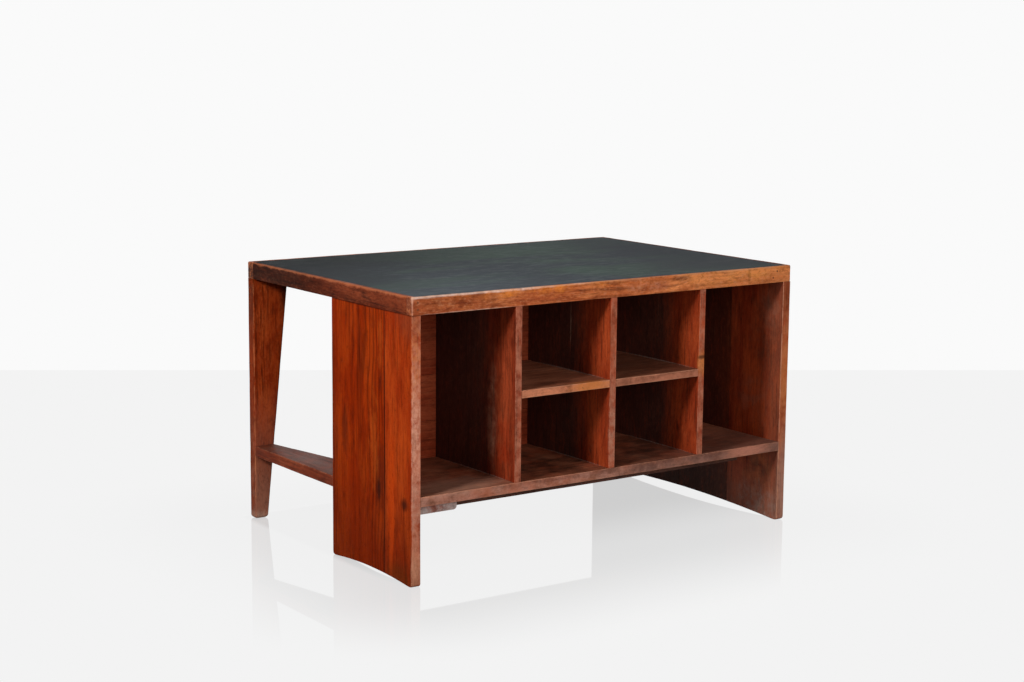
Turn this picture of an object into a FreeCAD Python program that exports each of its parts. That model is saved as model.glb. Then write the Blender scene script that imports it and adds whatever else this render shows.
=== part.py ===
import FreeCAD, Part
import os
import re
import Sketcher

# Pigeonhole desk in millimetres: a leather-topped table on a case of six pigeonholes.
# X runs along the long side, the pigeonholes face -Y and the sitter's knees go in from +Y.
# Z is up, and the origin is on the floor under the middle of the desk.

doc = FreeCAD.newDocument("pigeonhole_desk")
sheet = doc.addObject("Spreadsheet::Sheet", "Sizes")

driving_sizes = [
    ("overall_width", 1220, "left to right, over the end panels"),
    ("overall_depth", 830, "front to rear, over the rails"),
    ("overall_height", 711, "floor to the leather"),
    ("rail_height", 45, "height of the four rails round the top"),
    ("front_rail_thickness", 25, "rail over the pigeonholes"),
    ("rear_rail_thickness", 30, "rail over the knee space"),
    ("side_rail_thickness", 25, "left and right rails"),
    ("front_lip", 6, "wood left beside the leather, front"),
    ("side_lip", 12, "wood left beside the leather, left and right"),
    ("rear_lip", 8, "wood left beside the leather, rear"),
    ("top_board_thickness", 20, "boards under the leather"),
    ("leather_thickness", 2, "leather sheet"),
    ("leather_corner", 3, "corner radius of the leather sheet"),
    ("panel_thickness", 25, "end panels"),
    ("left_front_board_width", 125, "front board of the left end panel"),
    ("case_depth", 378, "front to the rear face of the pigeonhole case"),
    ("left_arch_rise", 9.5, "arch under the left end panel"),
    ("right_arch_rise", 16.5, "arch under the right end panel"),
    ("arch_foot", 18, "flat foot at each end of an arch"),
    ("shelf_thickness", 25, "bottom shelf"),
    ("shelf_height", 222, "floor to the top of the bottom shelf"),
    ("shelf_front_board_width", 180, "front board of the bottom shelf"),
    ("divider_thickness", 20, "uprights between the pigeonholes"),
    ("divider_front_board_width", 170, "front board of an upright"),
    ("half_shelf_thickness", 20, "shelves of the two middle columns"),
    ("half_shelf_front_board_width", 190, "front board of a half shelf"),
    ("back_thickness", 18, "boards behind the pigeonholes"),
    ("back_housing", 10, "how far the back boards enter the end panels"),
    ("leg_thickness", 30, "rear left leg, front to rear"),
    ("leg_top_width", 107, "rear left leg under the rail"),
    ("leg_foot_width", 38.5, "rear left leg at the floor"),
    ("stretcher_thickness", 29, "board from the leg to the case"),
    ("stretcher_notch", 8, "how far the stretcher is cut down under the bottom shelf"),
    ("stretcher_case_width", 138, "outer face to the stretcher's inner edge, under the case"),
    ("stretcher_setback", 12, "front of the desk to the front end of the stretcher"),
    ("batten_setback", 43, "front of the desk to the batten under the bottom shelf"),
    ("batten_width", 45, "batten, front to rear"),
    ("batten_thickness", 21, "batten, top to bottom"),
    ("tongue_length", 8, "tongues of the bottom shelf and of the end panels' tops"),
    ("tongue_thickness", 10, "tongues of shelves, uprights and end panels"),
    ("tongue_stop", 15, "hidden tongues stay this far behind a visible edge"),
    ("housing_depth", 5, "housings of the uprights and the half shelves"),
    ("board_tongue", 6, "tongues between the top boards and between the back boards"),
    ("tenon_thickness", 10, "tenons of rails, leg and stretcher"),
    ("tenon_shoulder", 5, "wood above and below a rail tenon"),
    ("tenon_inset", 14, "wood beside a tenon of the leg or the stretcher"),
    ("mortise_wall", 10, "wood left behind a mortise"),
    ("joint_clearance", 0.2, "room round a tongue, a tenon or a plug"),
    ("edge_wear", 1.5, "rounding of handled edges"),
    ("top_edge_wear", 4, "rounding of the top's outer edges and corners"),
    ("foot_wear", 6, "rounding of the feet's corners"),
    ("leg_wear", 4, "rounding of the leg's edges"),
    ("plug_diameter", 7, "filled fixing holes in the front rail"),
    ("plug_depth", 6, "depth of those holes"),
    ("left_plug_inset", 16, "left end of the rail to its plugs"),
    ("right_plug_inset", 50, "right end of the rail to its upper plug"),
    ("right_plug_step", 14, "right upper plug to right lower plug, along the rail"),
    ("upper_plug_height", 31, "underside of the rail to the upper plugs"),
    ("lower_plug_height", 14, "underside of the rail to the lower plugs"),
]
for row, (alias, number, note) in enumerate(driving_sizes, start=1):
    sheet.set(f"A{row}", alias)
    sheet.set(f"B{row}", str(number))
    sheet.setAlias(f"B{row}", alias)
    sheet.set(f"C{row}", note)
doc.recompute()
aliases = {alias for alias, number, note in driving_sizes}

top_board_count = 5
right_panel_board_count = 4
back_board_count = 4

# Levels and faces that several pieces share, as formulas of the sheet's sizes.
left_face = "(-overall_width / 2)"
right_face = "(overall_width / 2)"
front_face = "(-overall_depth / 2)"
rear_face = "(overall_depth / 2)"
rail_under = "(overall_height - rail_height)"
ledge = "(overall_height - leather_thickness - top_board_thickness)"
ledge_height = f"({ledge} - {rail_under})"
panel_inner = "(overall_width / 2 - panel_thickness)"
case_rear = "(case_depth - overall_depth / 2)"
back_front = f"({case_rear} - back_thickness)"
shelf_under = "(shelf_height - shelf_thickness)"
half_shelf_middle = f"((shelf_height + {rail_under}) / 2)"
half_shelf_under = f"({half_shelf_middle} - half_shelf_thickness / 2)"
half_shelf_top = f"({half_shelf_middle} + half_shelf_thickness / 2)"
stretcher_top = f"({shelf_under} + stretcher_notch)"
stretcher_under = f"({stretcher_top} - stretcher_thickness)"
stretcher_middle = f"({stretcher_top} - stretcher_thickness / 2)"
leg_front = f"({rear_face} - leg_thickness)"
leg_middle = f"({rear_face} - leg_thickness / 2)"
leg_width_at_stretcher = (
    f"(leg_foot_width + (leg_top_width - leg_foot_width) * {stretcher_under} / {rail_under})"
)
column_pitch = "((overall_width - 2 * panel_thickness + divider_thickness) / 4)"
divider_places = {"left": f"(-{column_pitch})", "middle": "0", "right": column_pitch}

rearward = FreeCAD.Rotation(FreeCAD.Vector(1, 0, 0), -90)
pieces = []
piece_origin = {}


def size(alias):
    return float(sheet.get(alias))


def with_sheet(formula):
    def full_name(word):
        name = word.group()
        return f"Sizes.{name}" if name in aliases else name

    return re.sub(r"[a-z]\w+", full_name, formula)


def bind(item, prop, formula):
    item.setExpression(prop, with_sheet(formula))


def new_piece(label, x, y, z):
    body = doc.addObject("PartDesign::Body", label)
    body.Label = label
    for axis, formula in zip("xyz", (x, y, z)):
        bind(body, f"Placement.Base.{axis}", formula)
    piece_origin[label] = (x, y, z)
    pieces.append(body)
    return body


def place_in_desk(body, feature, place):
    # place is in the desk's frame, and the feature stands in its own piece's frame
    for axis, formula, origin in zip("xyz", place, piece_origin[body.Label]):
        bind(feature, f"Placement.Base.{axis}", f"({formula}) - ({origin})")


def block(body, name, low, high, kind="Additive"):
    box = body.newObject(f"PartDesign::{kind}Box", name)
    place_in_desk(body, box, low)
    for prop, start, end in zip(("Length", "Width", "Height"), low, high):
        bind(box, prop, f"({end}) - ({start})")
    return box


def cut(body, name, low, high):
    return block(body, name, low, high, kind="Subtractive")


def bore_rearward(body, name, start, diameter, depth):
    bore = body.newObject("PartDesign::SubtractiveCylinder", name)
    bore.Placement = FreeCAD.Placement(FreeCAD.Vector(), rearward)
    place_in_desk(body, bore, start)
    bind(bore, "Radius", f"{diameter} / 2 + joint_clearance")
    bind(bore, "Height", depth)
    return bore


def sketch_on(body, name, plane):
    sketch = body.newObject("Sketcher::SketchObject", name)
    support = [feature for feature in body.Origin.OriginFeatures if feature.Role == plane][0]
    sketch.AttachmentSupport = [(support, "")]
    sketch.MapMode = "FlatFace"
    return sketch


def fix_point(sketch, geometry, point, u, v):
    for kind, formula in (("DistanceX", u), ("DistanceY", v)):
        index = sketch.addConstraint(Sketcher.Constraint(kind, -1, 1, geometry, point, 1.0))
        bind(sketch, f"Constraints[{index}]", formula)


def outline(body, name, plane, corners):
    sketch = sketch_on(body, name, plane)
    count = len(corners)
    turn = FreeCAD.Rotation(FreeCAD.Vector(0, 0, 1), 360 / count)
    points = [FreeCAD.Vector(count, 0, 0)]
    for corner in corners[1:]:
        points.append(turn.multVec(points[-1]))
    for index in range(count):
        sketch.addGeometry(Part.LineSegment(points[index], points[(index + 1) % count]), False)
    for index in range(count):
        sketch.addConstraint(Sketcher.Constraint("Coincident", index, 2, (index + 1) % count, 1))
    for index, (u, v) in enumerate(corners):
        fix_point(sketch, index, 1, u, v)
    return sketch


def pad(body, name, sketch, length):
    feature = body.newObject("PartDesign::Pad", name)
    feature.Profile = sketch
    feature.SideType = "Symmetric"
    bind(feature, "Length", length)
    return feature


def arch(body, span_middle, half_span, rise):
    # one arc of a circle through the two feet and the crown, cut right through the board
    radius = f"({half_span} * {half_span} + {rise} * {rise}) / (2 * {rise})"
    sketch = sketch_on(body, "ArchCircle", "YZ_Plane")
    below = FreeCAD.Vector(0, -size("overall_depth"), 0)
    circle = Part.Circle(below, FreeCAD.Vector(0, 0, 1), size("case_depth"))
    sketch.addGeometry(circle, False)
    fix_point(sketch, 0, 3, f"{span_middle} - {piece_origin[body.Label][1]}", f"{rise} - {radius}")
    index = sketch.addConstraint(Sketcher.Constraint("Radius", 0, size("case_depth")))
    bind(sketch, f"Constraints[{index}]", radius)
    pocket = body.newObject("PartDesign::Pocket", "Arch")
    pocket.Profile = sketch
    pocket.SideType = "Symmetric"
    pocket.Type = "ThroughAll"


def edges_at(shape, wanted):
    # straight edges along one axis that lie at the named ends of the shape on the other axes
    names = []
    box = shape.BoundBox
    ends = {
        "xmin": box.XMin, "xmax": box.XMax,
        "ymin": box.YMin, "ymax": box.YMax,
        "zmin": box.ZMin, "zmax": box.ZMax,
    }
    for number, edge in enumerate(shape.Edges, start=1):
        if edge.Degenerated or not isinstance(edge.Curve, Part.Line):
            continue
        direction = edge.tangentAt(edge.FirstParameter)
        middle = edge.CenterOfMass
        for along, *places in wanted:
            parallel = abs(abs(getattr(direction, along)) - 1) < 1e-6
            if parallel and all(abs(getattr(middle, end[0]) - ends[end]) < 1e-3 for end in places):
                names.append(f"Edge{number}")
    return names


def wear(body, name, radius, *wanted):
    doc.recompute()
    worn = body.Tip
    fillet = body.newObject("PartDesign::Fillet", name)
    fillet.Base = (worn, edges_at(worn.Shape, wanted))
    bind(fillet, "Radius", radius)


def outer_end(side):
    return "xmin" if side < 0 else "xmax"


def low_to_high(outer, inner, side):
    return (outer, inner) if side < 0 else (inner, outer)


def side_rail_mortise(body, side, near, far):
    middle = f"({side} * (overall_width / 2 - side_rail_thickness / 2))"
    low = (f"{middle} - tenon_thickness / 2 - joint_clearance", near,
           f"{rail_under} + tenon_shoulder - joint_clearance")
    high = (f"{middle} + tenon_thickness / 2 + joint_clearance", far,
            f"{ledge} - tenon_shoulder + joint_clearance")
    cut(body, "RailMortise", low, high)


def make_long_rail(label, side, outer_face, thickness, lip):
    # full width, and rebated for the top boards only between the side lips, so its ends are whole
    inner_face = f"({outer_face} - {side} * {thickness})"
    lip_face = f"({outer_face} - {side} * {lip})"
    body = new_piece(label, "0", outer_face, rail_under)
    rail_y = low_to_high(outer_face, inner_face, side)
    rebate_y = low_to_high(lip_face, inner_face, side)
    half_rebate = "(overall_width / 2 - side_lip)"
    block(body, "Rail", (left_face, rail_y[0], rail_under), (right_face, rail_y[1], "overall_height"))
    outer = "ymin" if side < 0 else "ymax"
    wear(body, "TopAndCorners", "top_edge_wear", ("x", outer, "zmax"),
         ("y", "xmin", "zmax"), ("y", "xmax", "zmax"), ("z", outer, "xmin"), ("z", outer, "xmax"))
    wear(body, "LowerWear", "edge_wear", ("x", outer, "zmin"))
    cut(body, "Rebate", (f"(-{half_rebate})", rebate_y[0], ledge),
        (half_rebate, rebate_y[1], "overall_height"))
    return body


def make_front_rail():
    body = make_long_rail("front_rail", -1, front_face, "front_rail_thickness", "front_lip")
    for side in (-1, 1):
        side_rail_mortise(body, side, f"({front_face} + mortise_wall - joint_clearance)",
                          f"({front_face} + front_rail_thickness)")
    left = f"({left_face} + left_plug_inset)"
    right = f"({right_face} - right_plug_inset)"
    heights = (f"({rail_under} + upper_plug_height)", f"({rail_under} + lower_plug_height)")
    places = [(left, heights[0]), (left, heights[1]), (right, heights[0]),
              (f"({right} - right_plug_step)", heights[1])]
    return [
        (body, bore_rearward(body, "PlugHole", (x, front_face, z), "plug_diameter", "plug_depth"))
        for x, z in places
    ]


def make_rear_rail():
    body = make_long_rail("rear_rail", 1, rear_face, "rear_rail_thickness", "rear_lip")
    for side in (-1, 1):
        side_rail_mortise(body, side, f"({rear_face} - rear_rail_thickness)",
                          f"({rear_face} - mortise_wall + joint_clearance)")
    low, high = leg_tenon()
    cut(body, "LegMortise",
        (f"{low[0]} - joint_clearance", f"{low[1]} - joint_clearance", rail_under),
        (f"{high[0]} + joint_clearance", f"{high[1]} + joint_clearance", f"{high[2]} + joint_clearance"))


def panel_tongue_place(side):
    middle = f"({side} * (overall_width / 2 - panel_thickness / 2))"
    return f"({middle} - tongue_thickness / 2)", f"({middle} + tongue_thickness / 2)"


panel_tongue_start = f"({front_face} + front_rail_thickness + tongue_stop)"
panel_tongue_end = {
    -1: f"({case_rear} - tongue_stop)",
    1: f"({rear_face} - rear_rail_thickness - tongue_stop)",
}


def make_side_rail(label, side):
    # an L section: the ledge carries the top boards, and the lip comes up flush with the leather
    length = "(overall_depth - front_rail_thickness - rear_rail_thickness)"
    middle_y = f"({front_face} + front_rail_thickness + {length} / 2)"
    body = new_piece(label, f"({side} * overall_width / 2)", middle_y, rail_under)
    section = outline(body, "Section", "XZ_Plane", [
        ("0", "0"),
        (f"{-side} * side_rail_thickness", "0"),
        (f"{-side} * side_rail_thickness", ledge_height),
        (f"{-side} * side_lip", ledge_height),
        (f"{-side} * side_lip", "rail_height"),
        ("0", "rail_height"),
    ])
    pad(body, "Rail", section, length)
    wear(body, "TopWear", "top_edge_wear", ("y", outer_end(side), "zmax"))
    wear(body, "LowerWear", "edge_wear", ("y", outer_end(side), "zmin"))
    middle_x = f"({side} * (overall_width / 2 - side_rail_thickness / 2))"
    tenon_low_z = f"({rail_under} + tenon_shoulder)"
    tenon_high_z = f"({ledge} - tenon_shoulder)"
    block(body, "Tenons",
          (f"({middle_x} - tenon_thickness / 2)", f"({front_face} + mortise_wall)", tenon_low_z),
          (f"({middle_x} + tenon_thickness / 2)", f"({rear_face} - mortise_wall)", tenon_high_z))
    low, high = panel_tongue_place(side)
    cut(body, "PanelGroove",
        (f"({low} - joint_clearance)", f"({panel_tongue_start} - joint_clearance)", rail_under),
        (f"({high} + joint_clearance)", f"({panel_tongue_end[side]} + joint_clearance)",
         f"({rail_under} + tongue_length + joint_clearance)"))


def make_top_boards():
    half_length = "(overall_width / 2 - side_lip)"
    width = f"((overall_depth - front_lip - rear_lip) / {top_board_count})"
    tongue_low = f"({ledge} + top_board_thickness / 2 - board_tongue / 2)"
    tongue_high = f"({ledge} + top_board_thickness / 2 + board_tongue / 2)"
    for number in range(top_board_count):
        start = f"({front_face} + front_lip + {number} * {width})"
        end = f"({front_face} + front_lip + {number + 1} * {width})"
        body = new_piece(f"top_board_{number + 1}", "0", start, ledge)
        block(body, "Board", (f"(-{half_length})", start, ledge),
              (half_length, end, f"({ledge} + top_board_thickness)"))
        if number < top_board_count - 1:
            block(body, "Tongue", (f"(-{half_length})", end, tongue_low),
                  (half_length, f"({end} + board_tongue)", tongue_high))
        if number > 0:
            cut(body, "Groove", (f"(-{half_length})", start, f"({tongue_low} - joint_clearance)"),
                (half_length, f"({start} + board_tongue + joint_clearance)",
                 f"({tongue_high} + joint_clearance)"))


def make_leather():
    underside = "(overall_height - leather_thickness)"
    half_length = "(overall_width / 2 - side_lip - joint_clearance)"
    body = new_piece("leather_top", "0", "0", underside)
    block(body, "Sheet",
          (f"(-{half_length})", f"({front_face} + front_lip + joint_clearance)", underside),
          (half_length, f"({rear_face} - rear_lip - joint_clearance)", "overall_height"))
    wear(body, "Corners", "leather_corner",
         ("z", "xmin", "ymin"), ("z", "xmin", "ymax"), ("z", "xmax", "ymin"), ("z", "xmax", "ymax"))


def make_panel_board(label, side, start, end, tongue_from, tongue_to):
    middle = f"({side} * (overall_width / 2 - panel_thickness / 2))"
    low_x, high_x = low_to_high(f"({side} * overall_width / 2)", f"({side} * {panel_inner})", side)
    body = new_piece(label, middle, start, "0")
    block(body, "Board", (low_x, start, "0"), (high_x, end, rail_under))
    if side < 0:
        arch_middle = f"(({front_face} + {case_rear}) / 2)"
        arch(body, arch_middle, "(case_depth / 2 - arch_foot)", "left_arch_rise")
    else:
        arch(body, "0", "(overall_depth / 2 - arch_foot)", "right_arch_rise")
    if start == front_face:
        wear(body, "FootWear", "foot_wear", ("x", "ymin", "zmin"))
        wear(body, "FrontWear", "edge_wear", ("z", "ymin", "xmin"), ("z", "ymin", "xmax"))
    if end == rear_face or end == case_rear:
        wear(body, "FootWear", "foot_wear", ("x", "ymax", "zmin"))
        wear(body, "RearWear", "edge_wear", ("z", "ymax", outer_end(side)))
    low, high = panel_tongue_place(side)
    tongue_top = f"({rail_under} + tongue_length)"
    block(body, "Tongue", (low, tongue_from, rail_under), (high, tongue_to, tongue_top))
    cut_panel_housings(body, side)


def cut_panel_housings(body, side):
    # a stopped groove for the bottom shelf's tongue, and a housing for the ends of the back boards
    shelf_middle = "(shelf_height - shelf_thickness / 2)"
    deep = f"({side} * ({panel_inner} + tongue_length + joint_clearance))"
    housed = f"({side} * ({panel_inner} + back_housing + joint_clearance))"
    face = f"({side} * {panel_inner})"
    groove_x = low_to_high(deep, face, side)
    housing_x = low_to_high(housed, face, side)
    cut(body, "ShelfGroove",
        (groove_x[0], f"({front_face} + tongue_stop - joint_clearance)",
         f"({shelf_middle} - tongue_thickness / 2 - joint_clearance)"),
        (groove_x[1], back_front, f"({shelf_middle} + tongue_thickness / 2 + joint_clearance)"))
    cut(body, "BackHousing",
        (housing_x[0], f"({back_front} - joint_clearance)", f"({shelf_under} - joint_clearance)"),
        (housing_x[1], f"({case_rear} + joint_clearance)", rail_under))


def make_end_panels():
    joint = f"({front_face} + left_front_board_width)"
    make_panel_board("left_panel_front_board", -1, front_face, joint, panel_tongue_start, joint)
    make_panel_board("left_panel_rear_board", -1, joint, case_rear, joint, panel_tongue_end[-1])
    width = f"(overall_depth / {right_panel_board_count})"
    for number in range(right_panel_board_count):
        start = f"({front_face} + {number} * {width})" if number else front_face
        last = number == right_panel_board_count - 1
        end = rear_face if last else f"({front_face} + {number + 1} * {width})"
        tongue_from = start if number else panel_tongue_start
        tongue_to = panel_tongue_end[1] if last else end
        make_panel_board(f"right_panel_board_{number + 1}", 1, start, end, tongue_from, tongue_to)


def make_shelf_board(label, start, end):
    body = new_piece(label, "0", start, shelf_under)
    block(body, "Board", (f"(-{panel_inner})", start, shelf_under), (panel_inner, end, "shelf_height"))
    at_front = start == front_face
    if at_front:
        wear(body, "FrontWear", "edge_wear", ("x", "ymin", "zmin"), ("x", "ymin", "zmax"))
    reach = f"({panel_inner} + tongue_length)"
    middle = "(shelf_height - shelf_thickness / 2)"
    tongue_from = f"({start} + tongue_stop)" if at_front else start
    block(body, "Tongues",
          (f"(-{reach})", tongue_from, f"({middle} - tongue_thickness / 2)"),
          (reach, end, f"({middle} + tongue_thickness / 2)"))
    for place in divider_places.values():
        cut(body, "UprightHousing",
            (f"({place} - tongue_thickness / 2 - joint_clearance)",
             f"({front_face} + tongue_stop - joint_clearance)",
             "(shelf_height - housing_depth - joint_clearance)"),
            (f"({place} + tongue_thickness / 2 + joint_clearance)", back_front, "shelf_height"))


def make_half_shelf_board(label, left, right, start, end):
    body = new_piece(label, left, start, half_shelf_under)
    block(body, "Board", (left, start, half_shelf_under), (right, end, half_shelf_top))
    at_front = start == front_face
    if at_front:
        wear(body, "FrontWear", "edge_wear", ("x", "ymin", "zmin"), ("x", "ymin", "zmax"))
    tongue_from = f"({start} + tongue_stop)" if at_front else start
    block(body, "Tongues",
          (f"({left} - housing_depth)", tongue_from, f"({half_shelf_middle} - tongue_thickness / 2)"),
          (f"({right} + housing_depth)", end, f"({half_shelf_middle} + tongue_thickness / 2)"))


def make_half_shelves():
    joint = f"({front_face} + half_shelf_front_board_width)"
    columns = {"left": ("left", "middle"), "right": ("middle", "right")}
    for name, (left_divider, right_divider) in columns.items():
        left = f"({divider_places[left_divider]} + divider_thickness / 2)"
        right = f"({divider_places[right_divider]} - divider_thickness / 2)"
        make_half_shelf_board(f"half_shelf_{name}_front_board", left, right, front_face, joint)
        make_half_shelf_board(f"half_shelf_{name}_rear_board", left, right, joint, back_front)


def cut_half_shelf_grooves(body, place, sides):
    for side in sides:
        face = f"({place} + {side} * divider_thickness / 2)"
        deep = f"({place} + {side} * (divider_thickness / 2 - housing_depth - joint_clearance))"
        low_x, high_x = low_to_high(face, deep, side)
        cut(body, "HalfShelfGroove",
            (low_x, f"({front_face} + tongue_stop - joint_clearance)",
             f"({half_shelf_middle} - tongue_thickness / 2 - joint_clearance)"),
            (high_x, back_front, f"({half_shelf_middle} + tongue_thickness / 2 + joint_clearance)"))


def make_divider(name, place, sides):
    # the front board is notched round the front rail, so that the two are flush in front
    joint = f"({front_face} + divider_front_board_width)"
    full = f"({ledge} - shelf_height)"
    under_rail = f"({rail_under} - shelf_height)"
    front_board = new_piece(f"divider_{name}_front_board", place, front_face, "shelf_height")
    section = outline(front_board, "Elevation", "YZ_Plane", [
        ("0", "0"),
        ("divider_front_board_width", "0"),
        ("divider_front_board_width", full),
        ("front_rail_thickness", full),
        ("front_rail_thickness", under_rail),
        ("0", under_rail),
    ])
    pad(front_board, "Board", section, "divider_thickness")
    wear(front_board, "FrontWear", "edge_wear", ("z", "ymin", "xmin"), ("z", "ymin", "xmax"))
    rear_board = new_piece(f"divider_{name}_rear_board", place, joint, "shelf_height")
    block(rear_board, "Board", (f"({place} - divider_thickness / 2)", joint, "shelf_height"),
          (f"({place} + divider_thickness / 2)", back_front, ledge))
    tongue_low_x = f"({place} - tongue_thickness / 2)"
    tongue_high_x = f"({place} + tongue_thickness / 2)"
    tongue_runs = ((front_board, f"({front_face} + tongue_stop)", joint), (rear_board, joint, back_front))
    for body, start, end in tongue_runs:
        block(body, "Tongue", (tongue_low_x, start, "(shelf_height - housing_depth)"),
              (tongue_high_x, end, "shelf_height"))
        cut_half_shelf_grooves(body, place, sides)


def make_back_boards():
    height = f"(({ledge} - {shelf_under}) / {back_board_count})"
    half_length = f"({panel_inner} + back_housing)"
    middle_y = f"({case_rear} - back_thickness / 2)"
    for number in range(back_board_count):
        low = f"({shelf_under} + {number} * {height})"
        high = f"({shelf_under} + {number + 1} * {height})"
        body = new_piece(f"back_board_{number + 1}", "0", case_rear, low)
        block(body, "Board", (f"(-{half_length})", back_front, low), (half_length, case_rear, high))
        tongue_y = (f"({middle_y} - board_tongue / 2)", f"({middle_y} + board_tongue / 2)")
        if number < back_board_count - 1:
            block(body, "Tongue", (f"(-{half_length})", tongue_y[0], high),
                  (half_length, tongue_y[1], f"({high} + board_tongue)"))
        if number > 0:
            cut(body, "Groove", (f"(-{half_length})", f"({tongue_y[0]} - joint_clearance)", low),
                (half_length, f"({tongue_y[1]} + joint_clearance)",
                 f"({low} + board_tongue + joint_clearance)"))
        clear_side_rails(body, half_length)


def clear_side_rails(body, half_length):
    # above the end panels the back fits between the side rails
    rail_inner = "(overall_width / 2 - side_rail_thickness)"
    for low_x, high_x in ((f"(-{half_length})", f"(-{rail_inner})"), (rail_inner, half_length)):
        cut(body, "RailNotch", (low_x, back_front, rail_under), (high_x, case_rear, ledge))


def leg_tenon():
    # it starts clear of the left rail's own tenon
    low = (f"({left_face} + side_rail_thickness)", f"({leg_middle} - tenon_thickness / 2)", rail_under)
    high = (f"({left_face} + leg_top_width - tenon_inset)", f"({leg_middle} + tenon_thickness / 2)",
            f"({ledge} - mortise_wall)")
    return low, high


def stretcher_tenon():
    low = (f"({left_face} + tenon_inset)", leg_front, f"({stretcher_middle} - tenon_thickness / 2)")
    high = (f"({left_face} + {leg_width_at_stretcher} - tenon_inset)", f"({rear_face} - mortise_wall)",
            f"({stretcher_middle} + tenon_thickness / 2)")
    return low, high


def make_leg():
    body = new_piece("left_leg", left_face, leg_middle, "0")
    taper = outline(body, "Taper", "XZ_Plane", [
        ("0", "0"),
        ("leg_foot_width", "0"),
        ("leg_top_width", rail_under),
        ("0", rail_under),
    ])
    pad(body, "Leg", taper, "leg_thickness")
    wear(body, "FootAndArrises", "leg_wear", ("z", "xmin", "ymin"), ("z", "xmin", "ymax"),
         ("x", "ymin", "zmin"), ("x", "ymax", "zmin"), ("y", "xmin", "zmin"))
    block(body, "Tenon", *leg_tenon())
    low, high = stretcher_tenon()
    cut(body, "StretcherMortise",
        (f"({low[0]} - joint_clearance)", low[1], f"({low[2]} - joint_clearance)"),
        (f"({high[0]} + joint_clearance)", f"({high[1]} + joint_clearance)",
         f"({high[2]} + joint_clearance)"))


def make_stretcher():
    # in plan it hooks round the left panel's rear edge, then narrows to the leg's width
    body = new_piece("left_stretcher", left_face, case_rear, stretcher_middle)
    front_end = "(stretcher_setback - case_depth)"
    leg_end = "(overall_depth - case_depth - leg_thickness)"
    plan = outline(body, "Plan", "XY_Plane", [
        ("0", "0"),
        ("panel_thickness", "0"),
        ("panel_thickness", front_end),
        ("stretcher_case_width", front_end),
        ("stretcher_case_width", "0"),
        (leg_width_at_stretcher, leg_end),
        ("0", leg_end),
    ])
    pad(body, "Board", plan, "stretcher_thickness")
    wear(body, "InnerWear", "foot_wear", ("y", "xmax", "zmin"))
    wear(body, "OuterWear", "edge_wear", ("y", "xmin", "zmin"), ("y", "xmin", "zmax"))
    cut(body, "ShelfNotch", (f"({left_face} + panel_thickness)", front_face, shelf_under),
        (f"({left_face} + stretcher_case_width)", case_rear, stretcher_top))
    block(body, "Tenon", *stretcher_tenon())


def make_batten():
    half_length = "(overall_width / 2 - stretcher_case_width)"
    start = f"({front_face} + batten_setback)"
    under = f"({shelf_under} - batten_thickness)"
    body = new_piece("shelf_batten", "0", start, under)
    block(body, "Batten", (f"(-{half_length})", start, under),
          (half_length, f"({start} + batten_width)", shelf_under))
    wear(body, "EdgeWear", "edge_wear", ("x", "ymin", "zmin"), ("x", "ymax", "zmin"))


def make_plugs(holes):
    # one solid in each hole, along the hole's own axis
    group = doc.addObject("Part::Feature", "front_rail_plugs")
    group.Label = "front_rail_plugs"
    plugs = []
    for body, bore in holes:
        plug = Part.makeCylinder(size("plug_diameter") / 2, size("plug_depth"))
        plug.Placement = body.Placement.multiply(bore.Placement)
        plugs.append(plug)
    group.Shape = Part.makeCompound(plugs)
    pieces.append(group)


plug_holes = make_front_rail()
make_rear_rail()
make_side_rail("left_rail", -1)
make_side_rail("right_rail", 1)
make_top_boards()
make_leather()
make_end_panels()
shelf_joint = f"({front_face} + shelf_front_board_width)"
make_shelf_board("bottom_shelf_front_board", front_face, shelf_joint)
make_shelf_board("bottom_shelf_rear_board", shelf_joint, back_front)
half_shelf_sides = {"left": [1], "middle": [-1, 1], "right": [-1]}
for name, place in divider_places.items():
    make_divider(name, place, half_shelf_sides[name])
make_half_shelves()
make_back_boards()
make_leg()
make_stretcher()
make_batten()
doc.recompute()
make_plugs(plug_holes)
doc.recompute()

for item in doc.Objects:
    if "Invalid" in item.State or "Error" in item.State:
        raise RuntimeError(f"{item.Label} failed to build: {item.State}")
for piece in pieces:
    if piece.Shape.isNull() or not piece.Shape.isValid() or not piece.Shape.Solids:
        raise RuntimeError(f"{piece.Label} has no valid solid")

os.makedirs("parts", exist_ok=True)
for piece in pieces:
    piece.Shape.exportStep(f"parts/{piece.Label}.step")
print(f"{len(pieces)} pieces written")
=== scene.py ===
import bmesh
import bpy
import math
from mathutils import Euler, Matrix, Vector, noise


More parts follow.
